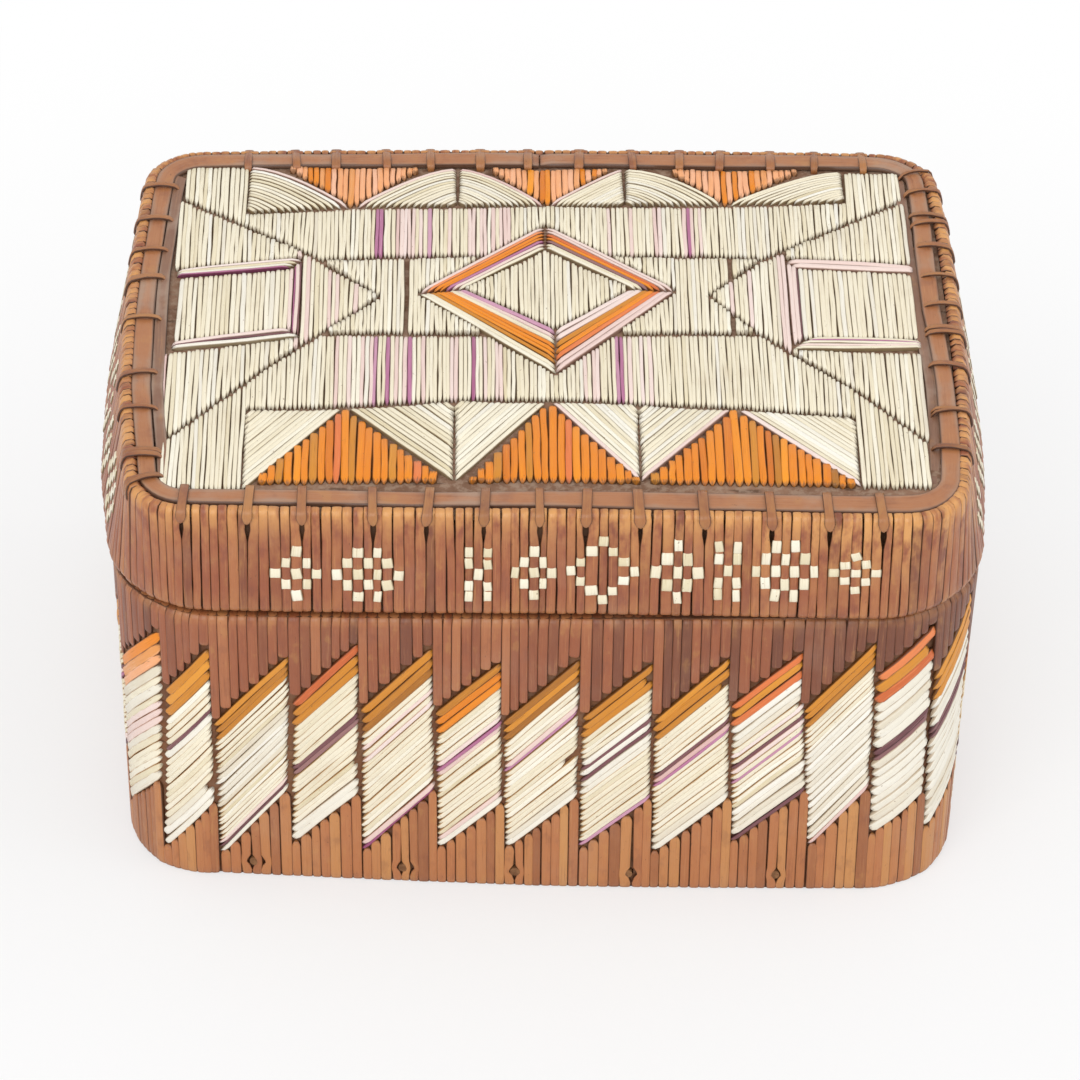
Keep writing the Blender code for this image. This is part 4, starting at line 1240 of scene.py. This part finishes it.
@dataclass
class LidRim:
    """The lid's rim: upright turns of root, woven squares, the hoop on top and its stitches.

    A turn's path has these columns: height over the lid's foot and inset in millimetres, how far
    it is sunk and drawn in at the back, its outward and its upward share, how rubbed it is, with a
    painted highlight along the fold, how golden it is, and how far it gives way to a stitch.
    """

    shop: Workshop
    turn_width: float = 2.22 * MM
    turn_height: float = 0.95 * MM
    motif_height: float = 12.0 * MM
    motif_reach: int = 4
    square_rise: float = 3.03 * MM
    square_tall: float = 3.0 * MM
    square_inset: float = 0.22 * MM
    square_height: float = 0.42 * MM
    stitch_reach: float = 2.2 * MM
    stitch_push: float = 0.26 * MM
    stitch_slim: float = 0.48 * MM
    strand_gap: float = 1.15 * MM
    hoop_ends: float = 0.2 * MM
    hoop_inset: float = 4.9 * MM
    hoop_width: float = 4.2 * MM
    hoop_height: float = 1.05 * MM
    hoop_drop: float = 1.20 * MM
    inner_reach: float = 61 * MM
    inner_inset: float = 8.5 * MM
    inner_width: float = 2.8 * MM
    inner_drops: Span = (2.05 * MM, 1.45 * MM)
    turn_path: tuple[tuple[float, ...], ...] = (
        (1.75, 3.2, 0, 0, 0, -1, 0, 0, 0), (1.5, 1.9, 0, 0, .15, -1, .1, 0, 0),
        (1.75, 1.15, 0, 0, .7, -.7, .3, 0, 0), (2.5, .95, 0, 0, 1, 0, .2, .2, 0),
        (8.0, .95, 0, 0, 1, 0, .05, .3, 0), (15.0, .95, 0, 0, 1, 0, .1, .6, .05),
        (20.5, .95, 0, 0, 1, 0, .2, 1, .15), (23.8, .95, 0, 0, 1, 0, .35, 1, 1),
        (27.1, .97, .8, .05, 1, .08, .7, 1, .7), (27.9, 1.25, .85, .35, .7, .7, 1, 1, .3),
        (28.05, 2.0, .55, .45, .05, 1, .8, .5, 0), (27.75, 3.1, .25, .1, 0, 1, .1, 0, 0))
    stitch_places: tuple[tuple[float, ...], ...] = (
        (-79.8, -65.3, -53.3, -37.7, -26.1, -13.5, -1.2, 8.9, 20.8, 35.0, 49.7, 62.3, 74.1),
        (-47.2, -33.3, -17.6, -4.3, 6.9, 17.9, 29.1, 40.0, 52.3, 61.0),
        (76.7, 65.9, 55.2, 43.7, 33.6, 21.6, 9.7, -2.8, -14.2, -26.2, -36.9, -48.6, -58.7, -69.4),
        (53.3, 39.8, 26.9, 15.1, 0.6, -21.4, -32.6, -49.0, -59.8))
    front_motifs: tuple[tuple[float, Motif, float, float], ...] = (
        (-55.0, Motif.NINE, 0.0, 1.0), (-38.3, Motif.DOUBLE, 0.0, 1.0),
        (-15.1, Motif.LADDER, 0.2, 1.0), (-2.1, Motif.NINE, 0.6, 1.0),
        (12.9, Motif.HOLLOW, 1.4, 0.90), (29.9, Motif.NINE, 1.4, 1.20),
        (39.6, Motif.LADDER, 2.0, 1.08), (53.9, Motif.DOUBLE, 2.2, 1.12),
        (69.5, Motif.NINE, 2.0, 0.76))
    side_motifs: tuple[tuple[float, Motif, float, float], ...] = (
        (-46.0, Motif.NINE, 0.0, 1.0), (-28.0, Motif.DOUBLE, 0.3, 1.0),
        (-10.0, Motif.NINE, -0.3, 1.1), (7.0, Motif.HOLLOW, 0.5, 0.95),
        (24.0, Motif.NINE, 0.0, 1.05), (42.0, Motif.DOUBLE, 0.4, 1.0))
    flat_lashing: Lashing = Lashing(2.20, (0.84, 1.10), 0.5, 0.50, (
        (9.4, -1.7, .8), (9.2, -0.8, .9), (8.7, -0.15, 1), (7.2, 0.0, 1), (5.6, 0.03, 1),
        (4.0, 0.02, 1), (2.9, -0.1, 1), (1.7, -0.15, 1), (0.65, -0.3, 1.04), (0.05, -0.8, 1.12),
        (-0.10, -1.5, 1.15), (-0.12, -2.2, .95), (-0.05, -2.9, .60), (0.15, -3.6, .15)))
    round_lashing: Lashing = Lashing(1.15, (0.65, 1.45), 1.2, 0.52, (
        (8.9, -1.5, .5), (8.2, -0.7, .85), (7.3, -0.05, 1), (6.1, 0.22, 1), (4.8, 0.34, 1),
        (3.5, 0.32, 1), (2.4, 0.15, 1), (1.5, 0.0, 1), (0.75, -0.2, 1), (0.25, -0.8, 1),
        (0.05, -1.7, 1), (-0.02, -2.7, 1), (0.02, -3.7, 1), (0.25, -4.7, .6)))

    def __post_init__(self) -> None:
        """Finds the rim's place and turns stitch places into distances."""
        line = self.shop.outline
        self.foot, self.top = line.foot, line.top
        self.chance = np.random.default_rng(23)
        self.stitches = sorted((line.find(place * MM, self.top, side), side in ("front", "back"))
                               for side, places in zip(SIDES, self.stitch_places)
                               for place in places)

    def turn_places(self) -> list[Span]:
        """Fits the turns between the stitches.

        Returns:
            The middle and width of every turn.
        """
        line = self.shop.outline
        stops = [distance for distance, _ in self.stitches]
        places = []
        for start, end in zip(stops, [*stops[1:], stops[0] + line.length]):
            spots = line.spot(np.linspace(start, end, 12), 0.0, self.foot + self.motif_height)
            span = np.linalg.norm(np.diff(spots, axis=0), axis=1).sum()
            places += split(self.chance, start, end, max(1, round(span / self.turn_width)))
        return places

    def lay_turns(self) -> None:
        """Lays the upright turns of root."""
        line = self.shop.outline
        pile = self.shop.pile("lid_rim", Dye.RIM, "lid")
        rise, depth, sunk, back, level, upward, rub, gilt, apart = np.array(self.turn_path).T
        heights = self.foot + rise * MM
        stops = np.array([distance for distance, flat in self.stitches if flat])
        share = np.linspace(-0.5, 0.5, 12)
        self.turns = self.turn_places()
        for centre, size in self.turns:
            lean, sway = self.chance.normal(0, 0.14) * MM, self.chance.normal(0, 0.10) * MM
            at = centre + lean * share + sway * np.sin(share * 5)
            thin = self.chance.uniform(0.84, 0.94) if self.chance.uniform() < 0.14 else 0.995
            width = size * line.stretch(at, heights) * thin
            gap = line.wrap(stops - centre)
            near = gap[np.argmin(np.abs(gap))]
            if abs(near) < self.stitch_reach:
                at = at - np.sign(near) * apart * self.stitch_push
                width = width - apart * self.stitch_slim
            out = line.outward(at, heights) * level[:, None] + UP * upward[:, None]
            behind = float(np.clip(line.outward(centre, self.top)[0, 1], 0, 1))
            inset = (depth + self.chance.uniform(-0.10, 0.14) + back * behind) * MM
            wobble = self.chance.normal(0, 0.04, 12) * MM
            spine = line.spot(at + wobble, inset, heights - sunk * MM * behind)
            shade = shade_by(self.chance, 0, 0.42)
            golden = self.chance.uniform(-0.1, 0.7) * np.clip(spine[0, 0] / (50 * MM), 0.1, 1)
            # The path's seventh column, highest along the fold over the rim's top, paints a
            # highlight there as well as wear.
            pile.lay(self.shop.turn, spine, out, width * 1.02, self.turn_height, shade,
                     np.clip(rub + golden * gilt, 0, 1))

    def lay_motif(self, centre: float, motif: Motif, lift: float, scale: float) -> None:
        """Lays one woven figure.

        Args:
            centre: the distance of its middle.
            motif: which figure it is.
            lift: how far it lies above the others, in millimetres.
            scale: its height against theirs.
        """
        line = self.shop.outline
        middles = np.array([place for place, _ in self.turns])
        index = int(np.argmin(np.abs(line.wrap(middles - centre))))
        pile = self.shop.pile("rim_squares", Dye.CREAM, "lid")
        share = self.shop.square.part * 2 - 1
        reach = range(-self.motif_reach, self.motif_reach + 1)
        for i, j in ((i, j) for i in reach for j in reach if motif.filled(i, j)):
            at, size = self.turns[(index + i) % len(self.turns)]
            middle = self.foot + self.motif_height + j * self.square_rise * scale
            middle += (lift + self.chance.normal(0, 0.12)) * MM
            tall = self.square_tall * scale * self.chance.uniform(0.90, 1.03) / 2
            place = at + share * self.chance.normal(0, 0.10) * MM
            heights = middle + share * tall
            width = size * line.stretch(place, heights) * self.chance.uniform(0.92, 1.04)
            pile.lay(self.shop.square, line.spot(place, self.square_inset, heights),
                     line.outward(place, heights), width, self.square_height,
                     shade_by(self.chance, -0.3, 0.4), tucked=False)

    def lay_strip(self, start: float, end: float, inset: float, width: float, height: float,
                  seed: float, dye: Dye, shade: float) -> None:
        """Lays one flat strip on the rim's top.

        Args:
            start: the distance where it starts.
            end: the distance where it ends.
            inset: how far in its middle lies on the right and left.
            width: its width there.
            height: how high its underside is.
            seed: sets its waves apart from those of other strips.
            dye: its finish.
            shade: paler above 0, deeper below.
        """
        line = self.shop.outline
        at = np.linspace(start, end, len(self.shop.hoop.stations))
        wave = sum(np.sin(at / MM / step + start_at + seed) for step, start_at in
                   ((19, 0.3), (7.3, 2.0), (31, 4.0))) / 3
        lift = np.sin(at / MM / 9.7 + 1.0 + seed) * 0.08 * MM
        facing, edge = line.outward(at, self.top), line.spot(at, 0.0, self.top)
        front, back = np.clip(-facing[:, 1], 0, 1) ** 2, np.clip(facing[:, 1], 0, 1) ** 2
        east = np.clip(edge[:, 0] / (60 * MM), -1, 1)
        drawn = np.interp(edge[:, 1] / MM, (-45, -20, 5, 30, 58), (-0.4, 0.4, 1.8, 1.7, 0.6))
        drawn = drawn * np.clip(facing[:, 0], 0, 1) ** 2
        middle = inset + (front * 0.9 + back * 1.2 + drawn + wave * 0.22) * MM
        wide = width + (front * (1.1 + 0.8 * east) + back * 0.6) * MM
        wide = wide * (1 + 0.05 * np.sin(at / MM / 13.0 + seed))
        self.shop.pile("lid_hoop", dye, "lid").lay(
            self.shop.hoop, line.spot(at, middle, height + lift), UP, wide, self.hoop_height,
            shade, 0.30)

    def lay_hoops(self) -> None:
        """Lays the hoop and the thin strips inside it at the ends."""
        half = self.shop.outline.length / 2 - self.hoop_ends
        self.lay_strip(-half, half, self.hoop_inset, self.hoop_width, self.top - self.hoop_drop,
                       0.0, Dye.HOOP, 0.0)
        for sign, drop in zip((1, -1), self.inner_drops):
            middle = sign * self.shop.outline.side_middle
            self.lay_strip(middle - self.inner_reach, middle + self.inner_reach, self.inner_inset,
                           self.inner_width, self.top - drop, 2.0 + sign, Dye.INNER, -0.2)

    def lay_stitches(self) -> None:
        """Lays the strands that wind over the hoop."""
        line = self.shop.outline
        pile = self.shop.pile("lid_stitches", Dye.STITCH, "lid")
        for distance, flat in self.stitches:
            kind = self.flat_lashing if flat else self.round_lashing
            inset, rise, share = np.array(kind.path).T
            steps = unit(np.gradient(np.column_stack([inset, rise]) * MM, axis=0))
            doubled = not flat and self.chance.uniform() < 0.4
            for strand in range(2 if doubled else 1):
                slant = self.chance.normal(0, kind.slant) * MM
                at = distance + slant * np.linspace(1.0, -0.15, 14) + strand * self.strand_gap
                level = line.outward(at, self.top)
                behind = np.clip(level[:, 1], 0, 1) * np.clip(np.arange(14) - 3, 0, 4) / 4
                spine = line.spot(at, (inset + behind * 0.5) * MM,
                                  self.top + (rise - behind * 1.1) * MM)
                width = share * kind.width * MM * self.chance.uniform(*kind.spread)
                pile.lay(self.shop.stitch, spine, -level * steps[:, 1:] - UP * steps[:, :1], width,
                         kind.height * MM, shade_by(self.chance, 0.1, 0.4), 0.6)

    def build(self) -> None:
        """Lays the rim's strips and makes their pieces."""
        line = self.shop.outline
        self.lay_turns()
        height = self.foot + self.motif_height
        for motifs, sides in ((self.front_motifs, ("front", "back")),
                              (self.side_motifs, ("right", "left"))):
            for place, *motif in motifs:
                self.lay_motif(line.find(place * MM, height, sides[0]), *motif)
                self.lay_motif(line.find(-place * MM, height, sides[1]), *motif)
        self.lay_hoops()
        self.lay_stitches()
        self.shop.make("lid_rim", ["lid_rim_wrap"])
        self.shop.make("rim_squares")
        self.shop.make("lid_hoop", ["lid_hoop"])
        self.shop.make("lid_stitches", [f"lid_lashing_{side}" for side in SIDES])


class Column:
    """One slanted column of quills."""

    def __init__(self, dyes: str, *corners: Sequence[float]) -> None:
        """Keeps its dyes and its upper and lower corners, each a distance and a height."""
        self.dyes = dyes
        self.top_left, self.top_right, self.foot_left, self.foot_right = map(np.array, corners)


@dataclass
class BodyWork:
    """The body's quills and root bars, column by column.

    A front column has its dyes from the top down and, in millimetres, its upper left, upper
    right, lower left and lower right corners. A bar has ten stations: its steps from the quills'
    edge, its middle and its end at the body's top or the floor. Its depths are in millimetres.
    """

    shop: Workshop
    count: int = 37
    bar_width: float = 2.28 * MM
    quill_height: float = 0.95 * MM
    bar_height: float = 0.95 * MM
    top_inset: float = 0.7 * MM
    taper: float = 1.9 * MM
    bar_steps: tuple[float, ...] = (0, .28, .75, 1.35)
    upper_depths: tuple[float, ...] = (.9, .95, .95, .95, .95, .95, 1.0, 1.35, 2.1, 3.4)
    upper_level: tuple[float, ...] = (1, 1, 1, 1, 1, 1, .9, .6, 0, 0)
    # How worn each station of an upper bar is, with a painted highlight on its rolled top.
    upper_rub: tuple[float, ...] = (.1, .1, .1, .05, .05, .2, .6, 1, .7, .2)
    upper_ends: tuple[float, ...] = (1.6, 0.7, 0.15, 0, 0)
    lower_depths: tuple[float, ...] = (1.15, .95, .95, .95, .95, .95, .95, .95, 1.0, 1.3)
    lower_ends: tuple[float, ...] = (5.5, 4.4, 3.3, 1.8, 0.35)
    peg_height: float = 4.75 * MM
    peg_radius: float = 1.5 * MM
    peg_reach: float = 2.8 * MM
    peg_push: float = 0.75 * MM
    peg_slim: float = 0.42
    front_columns: tuple[tuple[str, Span, Span, Span, Span], ...] = (
        ("OFFICICRRRICCCCCI", (-104.5, 54.8), (-87.7, 74.0), (-106.4, 9.7), (-89.9, 27.0)),
        ("AAACCCCPICCCCCCCCCIII", (-86.6, 57.0), (-74.8, 72.2), (-89.8, 6.0), (-75.2, 23.7)),
        ("AAACCCCCCIIIIIIICCCCCCCRPI", (-74.1, 48.5), (-57.0, 69.8), (-74.2, 6.4), (-58.2, 28.4)),
        ("EAACCCCCCPPCCCCCCCCII", (-56.2, 55.6), (-41.4, 74.0), (-57.6, 11.0), (-42.2, 27.8)),
        ("AAACCRCRCCCCCCCCCCCCCRM", (-40.7, 54.2), (-24.8, 73.0), (-41.4, 9.3), (-24.7, 29.5)),
        ("AOOCCCCCRMRCCCCCCCCCCCRI", (-24.2, 53.3), (-9.4, 68.8), (-23.9, 10.9), (-9.2, 26.6)),
        ("AAACCCCRMCCCCCCCCCCCCII", (-8.7, 50.8), (8.3, 70.3), (-8.4, 11.4), (8.0, 28.4)),
        ("AAACCCCIPIPIICCCCCCCCCM", (9.0, 52.6), (24.6, 68.8), (8.7, 12.4), (24.7, 28.1)),
        ("AAACCCCCCPRMCCCCCCCCCII", (25.3, 51.7), (41.8, 70.0), (25.4, 11.1), (42.8, 28.2)),
        ("EAEIIICRCPRCMCCCCCIIIIP", (42.6, 56.1), (58.2, 71.8), (43.7, 14.4), (60.2, 31.0)),
        ("AAACCCCCIIIIIIIIIIIIIIR", (59.0, 54.6), (74.6, 74.4), (61.2, 13.3), (74.7, 31.7)),
        ("EAEIIIIIPPIIIIIIII", (75.3, 64.6), (88.9, 75.8), (75.3, 17.2), (88.2, 26.4)),
        ("AAAIIIPPIIIIIIIIII", (89.7, 60.1), (103.0, 77.0), (89.0, 14.2), (104.2, 26.5)))
    share_of: dict[str, float] = field(default_factory=lambda: {
        "A": 1.5, "O": 1.5, "E": 1.5, "F": 1.4, "C": 1.0, "I": 1.3, "R": 1.0, "M": 0.7, "P": 0.8})
    front_pegs: tuple[float, ...] = (-0.344, -0.165, -0.031, 0.104, 0.281)
    side_pegs: tuple[float, ...] = (-0.32, 0.0, 0.32)

    def __post_init__(self) -> None:
        """Sets the columns and the pegs' places."""
        self.chance = np.random.default_rng(37)
        line = self.shop.outline
        self.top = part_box("body_root_band_upper")[1].z
        width, depth = 2 * line.half_width, 2 * line.half_depth
        self.pegs = [width * p for p in self.front_pegs]
        self.pegs += [float(line.wrap(line.length / 2 - width * p)) for p in self.front_pegs]
        self.pegs += [sign * (line.side_middle + depth * p) for sign in (1, -1)
                      for p in self.side_pegs]
        self.columns = self.plan()

    def plan(self) -> list[Column]:
        """Plans the columns, the front's own and the others with small chances.

        Returns:
            Every column, from the front's left on round the box.
        """
        columns = [Column(dyes, *np.array(corners) * MM)
                   for dyes, *corners in self.front_columns]
        first, last = columns[0], columns[-1]
        others = self.count - len(columns)
        turn = np.array([self.shop.outline.length, 0.0])
        shares = (np.arange(others + 1) / others)[:, None]
        tops = (last.top_right * (1 - shares) + (first.top_left + turn) * shares)[:, 0]
        feet = (last.foot_right * (1 - shares) + (first.foot_left + turn) * shares)[:, 0]
        for k in range(others):
            jog = self.chance.normal(0, 1.2, 4)
            low, high = (tops[k] + 0.5 * MM, feet[k] + 0.5 * MM), (tops[k + 1], feet[k + 1])
            columns.append(Column(
                self.chances(), (low[0], (53.5 + jog[0]) * MM),
                (high[0] - 0.4 * MM, (71.0 + jog[1]) * MM), (low[1], (10.4 + jog[2]) * MM),
                (high[1] - 0.4 * MM, (27.6 + jog[3]) * MM)))
        return columns

    def chances(self) -> str:
        """Makes up a column in the front's manner.

        Returns:
            Its colours from top to bottom.
        """
        top = self.chance.choice(["AAA", "EAA", "AOO", "OAA", "FAA", "EAE"])
        rest = ["C"] * 20
        for _ in range(int(self.chance.integers(1, 4))):
            at = int(self.chance.integers(2, 15))
            group = self.chance.choice(["P", "RM", "III", "PIP", "RR", "IIII", "M", "CIP"])
            rest[at:at + len(group)] = list(group)
        return str(top) + "".join(rest) + str(self.chance.choice(["II", "I", "CI", "RP", "III"]))

    def place(self, distance: Number, height: Number, depth: Number) -> np.ndarray:
        """Returns points on the body, a depth behind its face."""
        inset = self.top_inset + self.taper * (1 - height / self.shop.outline.foot)
        return self.shop.outline.spot(distance, inset + depth, height)

    def side_of(self, distance: float) -> str:
        """Names a face.

        Args:
            distance: a place on it.

        Returns:
            The face's name.
        """
        line = self.shop.outline
        edge, at = line.runs[0] + line.arc / 2, float(line.wrap(distance))
        if abs(at) < edge:
            return "front"
        if abs(at) > line.length / 2 - edge:
            return "back"
        return "right" if at > 0 else "left"

    def lay_column(self, column: Column) -> None:
        """Lays the quills of one column.

        Args:
            column: its corners and colours.
        """
        line, blank = self.shop.outline, self.shop.flat_quill
        part = blank.part
        shares = np.array([self.share_of[letter] for letter in column.dyes])
        shares *= self.chance.uniform(0.90, 1.10, len(shares))
        stops = np.concatenate([[0], np.cumsum(shares)]) / shares.sum()
        region = "body_quills_" + self.side_of((column.top_left[0] + column.top_right[0]) / 2)
        drop = (column.top_left + column.top_right - column.foot_left - column.foot_right)[1] / 2
        for letter, above, below in zip(column.dyes, stops, stops[1:]):
            share = (above + below) / 2
            left = column.top_left * (1 - share) + column.foot_left * share
            right = column.top_right * (1 - share) + column.foot_right * share
            left = left + self.chance.normal(0, 0.14, 2) * MM
            right = right + self.chance.normal(0, 0.14, 2) * MM
            if self.chance.uniform() < 0.03:
                right = right + (left - right) * self.chance.uniform(0.06, 0.16)
            at = left[0] + (right[0] - left[0]) * part
            bow = (self.chance.normal(0, 0.16) + 0.15) * MM
            heights = left[1] + (right[1] - left[1]) * part + bow * np.sin(part * pi)
            run = np.linalg.norm(self.place(right[0], left[1], 0.0)
                                 - self.place(left[0], left[1], 0.0))
            cosine = run / hypot(run, right[1] - left[1])
            depth = self.quill_height + np.clip((part - 0.90) / 0.1, 0, 1) * 0.30 * MM
            out = line.outward(at, heights) + UP * self.chance.uniform(-0.12, 0.12)
            shade = shade_by(self.chance, 0, 0.42)
            high = self.quill_height * self.chance.uniform(0.90, 1.12)
            self.shop.pile(region, Dye(letter), "box").lay(
                blank, self.place(at, heights, depth), out, (below - above) * drop * cosine * 1.07,
                high, shade, 1.0)

    def bars(self, start: float, end: float, height: float) -> list[Span]:
        """Returns the middle and the width of each bar between two distances."""
        run = (end - start) * float(self.shop.outline.stretch((start + end) / 2, height)[0])
        return split(self.chance, start, end, round(run / self.bar_width))

    def lay_upper(self, column: Column, start: float) -> None:
        """Lays the bars between one column and the body's top.

        Args:
            column: the column.
            start: the distance where the column before it ends.
        """
        line = self.shop.outline
        pile = self.shop.pile("body_bars_upper", Dye.ROOT, "box")
        (left, low), (end, high) = column.top_left, column.top_right
        level = np.array(self.upper_level)[:, None]
        for centre, size in self.bars(start, end, self.top):
            foot = max(low + (high - low) * (centre - left) / (end - left), low - 0.5 * MM)
            foot = min(foot + (1.1 + self.chance.uniform(-0.6, 0.5)) * MM, self.top - 3.4 * MM)
            top = self.top - (1.8 + 0.5 * min(1, max(0, centre / (80 * MM)))) * MM
            heights = np.concatenate([foot + np.array(self.bar_steps) * MM,
                                      [foot + (top - foot) * .55],
                                      top - np.array(self.upper_ends) * MM])
            depth = (np.array(self.upper_depths) + self.chance.uniform(-0.08, 0.12)) * MM
            places = centre + self.chance.normal(-0.1, 0.14) * MM * np.linspace(1, -1, 10)
            width = size * line.stretch(places, heights) * self.chance.uniform(1.0, 1.06)
            out = line.outward(places, heights) * level + UP * (1 - level)
            # Painted shadow of the lid: the upper bars are made darker towards the right side.
            shade = self.chance.normal(0, 0.4) - 0.9 * min(1, max(0, centre / (70 * MM)))
            pile.lay(self.shop.bar, self.place(places, heights, depth), out, width,
                     self.bar_height, float(np.clip(shade, -1, 1)), np.array(self.upper_rub))

    def lay_lower(self, column: Column, end: float) -> None:
        """Lays the bars between the floor and one column.

        Args:
            column: the column.
            end: the distance where the column after it starts.
        """
        line = self.shop.outline
        pile = self.shop.pile("body_bars_lower", Dye.FOOT, "box")
        (start, low), (right, high) = column.foot_left, column.foot_right
        for centre, size in self.bars(start, end, 0.0):
            head = low + (high - low) * min(1.0, (centre - start) / (right - start))
            head += (-0.5 + self.chance.uniform(-0.5, 0.3)) * MM
            heights = np.concatenate([head - np.array(self.bar_steps) * MM,
                                      [min(6.8 * MM, head - 1.6 * MM)],
                                      np.array(self.lower_ends) * MM])
            heights = np.minimum.accumulate(heights) - np.arange(10) * 0.001 * MM
            push, slim = np.zeros(10), np.ones(10)
            bell = np.exp(-((heights - self.peg_height) / self.peg_radius) ** 2)
            for gap in (float(line.wrap(centre - peg)) for peg in self.pegs):
                if abs(gap) < self.peg_reach:
                    push = push + np.sign(gap) * self.peg_push * bell
                    slim = slim - self.peg_slim * bell
            places = centre + self.chance.normal(0, 0.10) * MM + push
            depth = (np.array(self.lower_depths) + self.chance.uniform(-0.06, 0.10)) * MM
            width = size * line.stretch(places, heights) * slim * 1.04
            pile.lay(self.shop.bar, self.place(places, heights, depth),
                     line.outward(places, heights), width, self.bar_height,
                     shade_by(self.chance, 0.1, 0.45), 0.15)

    def build(self) -> None:
        """Lays every column and makes the pieces."""
        turn = self.shop.outline.length
        for index, column in enumerate(self.columns):
            before = self.columns[index - 1].top_right[0]
            after = self.columns[(index + 1) % len(self.columns)].foot_left[0]
            self.lay_column(column)
            self.lay_upper(column, before - (turn if index == 0 else 0.0))
            self.lay_lower(column, after + (turn if index == len(self.columns) - 1 else 0.0))
        for side in SIDES:
            self.shop.make(f"body_quills_{side}", [f"body_quills_{side}"])
        self.shop.make("body_bars_upper", ["body_root_band_upper"])
        self.shop.make("body_bars_lower", ["body_root_band_lower"])


@dataclass
class Carcass:
    """The solids that stay in sight, with their finishes."""

    wall: BarkFinish = BarkFinish("wall_bark", "6E4630", "845A3E", "3A261A", "8F7A66", 0.25)
    liner: BarkFinish = BarkFinish("liner_bark", "86664A", "A28262", "5A4230", "A08A6E", 0.20)
    panel: BarkFinish = BarkFinish("panel_bark", "7A5A46", "92705A", "4E382A", "A8907C", 0.60)
    core: BarkFinish = BarkFinish("core_bark", "4E3424", "62432F", "2C1C12", "7A6450", 0.15)
    board: WoodFinish = WoodFinish("board_pine", "C79A66", "B3824F", 0)
    peg: WoodFinish = WoodFinish("peg_wood", "8A6240", "6E4A2E", 1)

    def build(self) -> None:
        """Dresses every solid that stays in sight."""
        pegs = [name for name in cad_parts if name.startswith("peg_")]
        for finish, names in ((self.wall, ["body_wall"]), (self.panel, ["lid_top_panel"]),
                              (self.liner, ["body_liner", "lid_lining"]), (self.peg, pegs),
                              (self.core, ["lid_rim_core"]), (self.board, ["base_board"])):
            material = finish.build()
            for name in names:
                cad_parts[name].material_slots[0].material = material
                log.info("%s: %s", name, finish.name)


@dataclass
class Studio:
    """The floor, the lights and the camera."""

    eye: tuple[float, float, float] = (-0.0171, -0.9600, 0.8190)
    tilt: float = 51.1875
    roll: float = -0.6000
    turn: float = -0.5474
    lens: float = 173.33
    sensor: float = 36.0
    sky: float = 0.82
    lamps: tuple[tuple[str, tuple[float, float, float], float, float], ...] = (
        ("key", (-0.55, -1.55, 1.55), 18.0, 1.6), ("fill", (1.5, -0.2, 1.3), 5.5, 1.4))
    floor_size: float = 9.0
    floor_fade: Span = (0.10, 0.42)

    def build_camera(self) -> None:
        """Sets the camera at the photograph's viewing angle."""
        camera = bpy.data.cameras.new("camera")
        camera.lens, camera.sensor_width = self.lens, self.sensor
        camera.clip_start, camera.clip_end = 0.05, 50.0
        held = bpy.data.objects.new("camera", camera)
        held.location = self.eye
        held.rotation_euler = Euler([radians(a) for a in (self.tilt, self.roll, self.turn)])
        bpy.context.scene.collection.objects.link(held)
        bpy.context.scene.camera = held

    def build_lamp(self, name: str, spot: Sequence[float], power: float, size: float) -> None:
        """Adds one soft lamp that faces the box.

        Args:
            name: its name.
            spot: where it stands.
            power: its power in watts.
            size: the length of its side.
        """
        lamp = bpy.data.lights.new(name, "AREA")
        lamp.energy, lamp.size = power, size
        held = bpy.data.objects.new(name, lamp)
        held.location = spot
        aim = Vector((0.0, 0.0, 0.05)) - Vector(spot)
        held.rotation_euler = aim.to_track_quat("-Z", "Y").to_euler()
        bpy.context.scene.collection.objects.link(held)

    def build_world(self) -> None:
        """Makes an even sky that shows as white to the camera and through clear things."""
        bpy.context.scene.world = bpy.data.worlds.new("studio")
        g = Graph(bpy.context.scene.world)
        low, high = (g.node("Background", None, {"Color": (1, 1, 1, 1), "Strength": strength})
                     for strength in (self.sky, 1.0))
        seen = g.node("Math", {"operation": "MAXIMUM"}, {
            0: g.node("LightPath", out="Is Camera Ray"),
            1: g.node("LightPath", out="Is Transmission Ray")})
        mix = g.node("MixShader", None, {0: seen, 1: low, 2: high})
        g.node("OutputWorld", None, {"Surface": mix})

    def build_floor(self) -> None:
        """Makes a plain pale floor that fades to white away from the box."""
        bpy.ops.object.select_all(action="DESELECT")
        bpy.ops.mesh.primitive_plane_add(size=1.0, location=(0.0, 0.0, 0.0))
        floor = bpy.context.object
        floor.name = "floor"
        bpy.ops.transform.resize(value=(self.floor_size, self.floor_size, 1.0))
        bpy.ops.object.transform_apply(location=True, rotation=True, scale=True)
        g = Graph(bpy.data.materials.new("floor_paper"))
        shade = g.node("BsdfPrincipled", None, {
            "Base Color": (0.84, 0.84, 0.845, 1), "Roughness": 0.8, "Specular IOR Level": 0.2})
        light = g.node("Emission", None, {"Color": (1, 1, 1, 1), "Strength": 1.0})
        spot = g.node("VectorMath", {"operation": "LENGTH"}, {0: g.place(1.0, 1.35, 1.0)}, out=1)
        share = g.node("LightPath", out="Is Camera Ray") * g.step(spot, *self.floor_fade, 0.55)
        mix = g.node("MixShader", None, {0: share, 1: shade, 2: light})
        g.node("OutputMaterial", None, {"Surface": mix})
        floor.data.materials.append(g.owner)

    def build(self) -> None:
        """Sets up the studio."""
        self.build_camera()
        self.build_world()
        self.build_floor()
        for lamp in self.lamps:
            self.build_lamp(*lamp)
        bpy.context.scene.view_settings.view_transform = "Standard"


def main() -> None:
    """Builds the sub-assemblies in order."""
    logging.basicConfig(level=logging.INFO, format="%(message)s")
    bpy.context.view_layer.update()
    shop = Workshop()
    Carcass().build()
    for assembly in (BodyWork, LidRim, QuillField):
        assembly(shop).build()
    Studio().build()


if __name__ == "__main__":
    main()
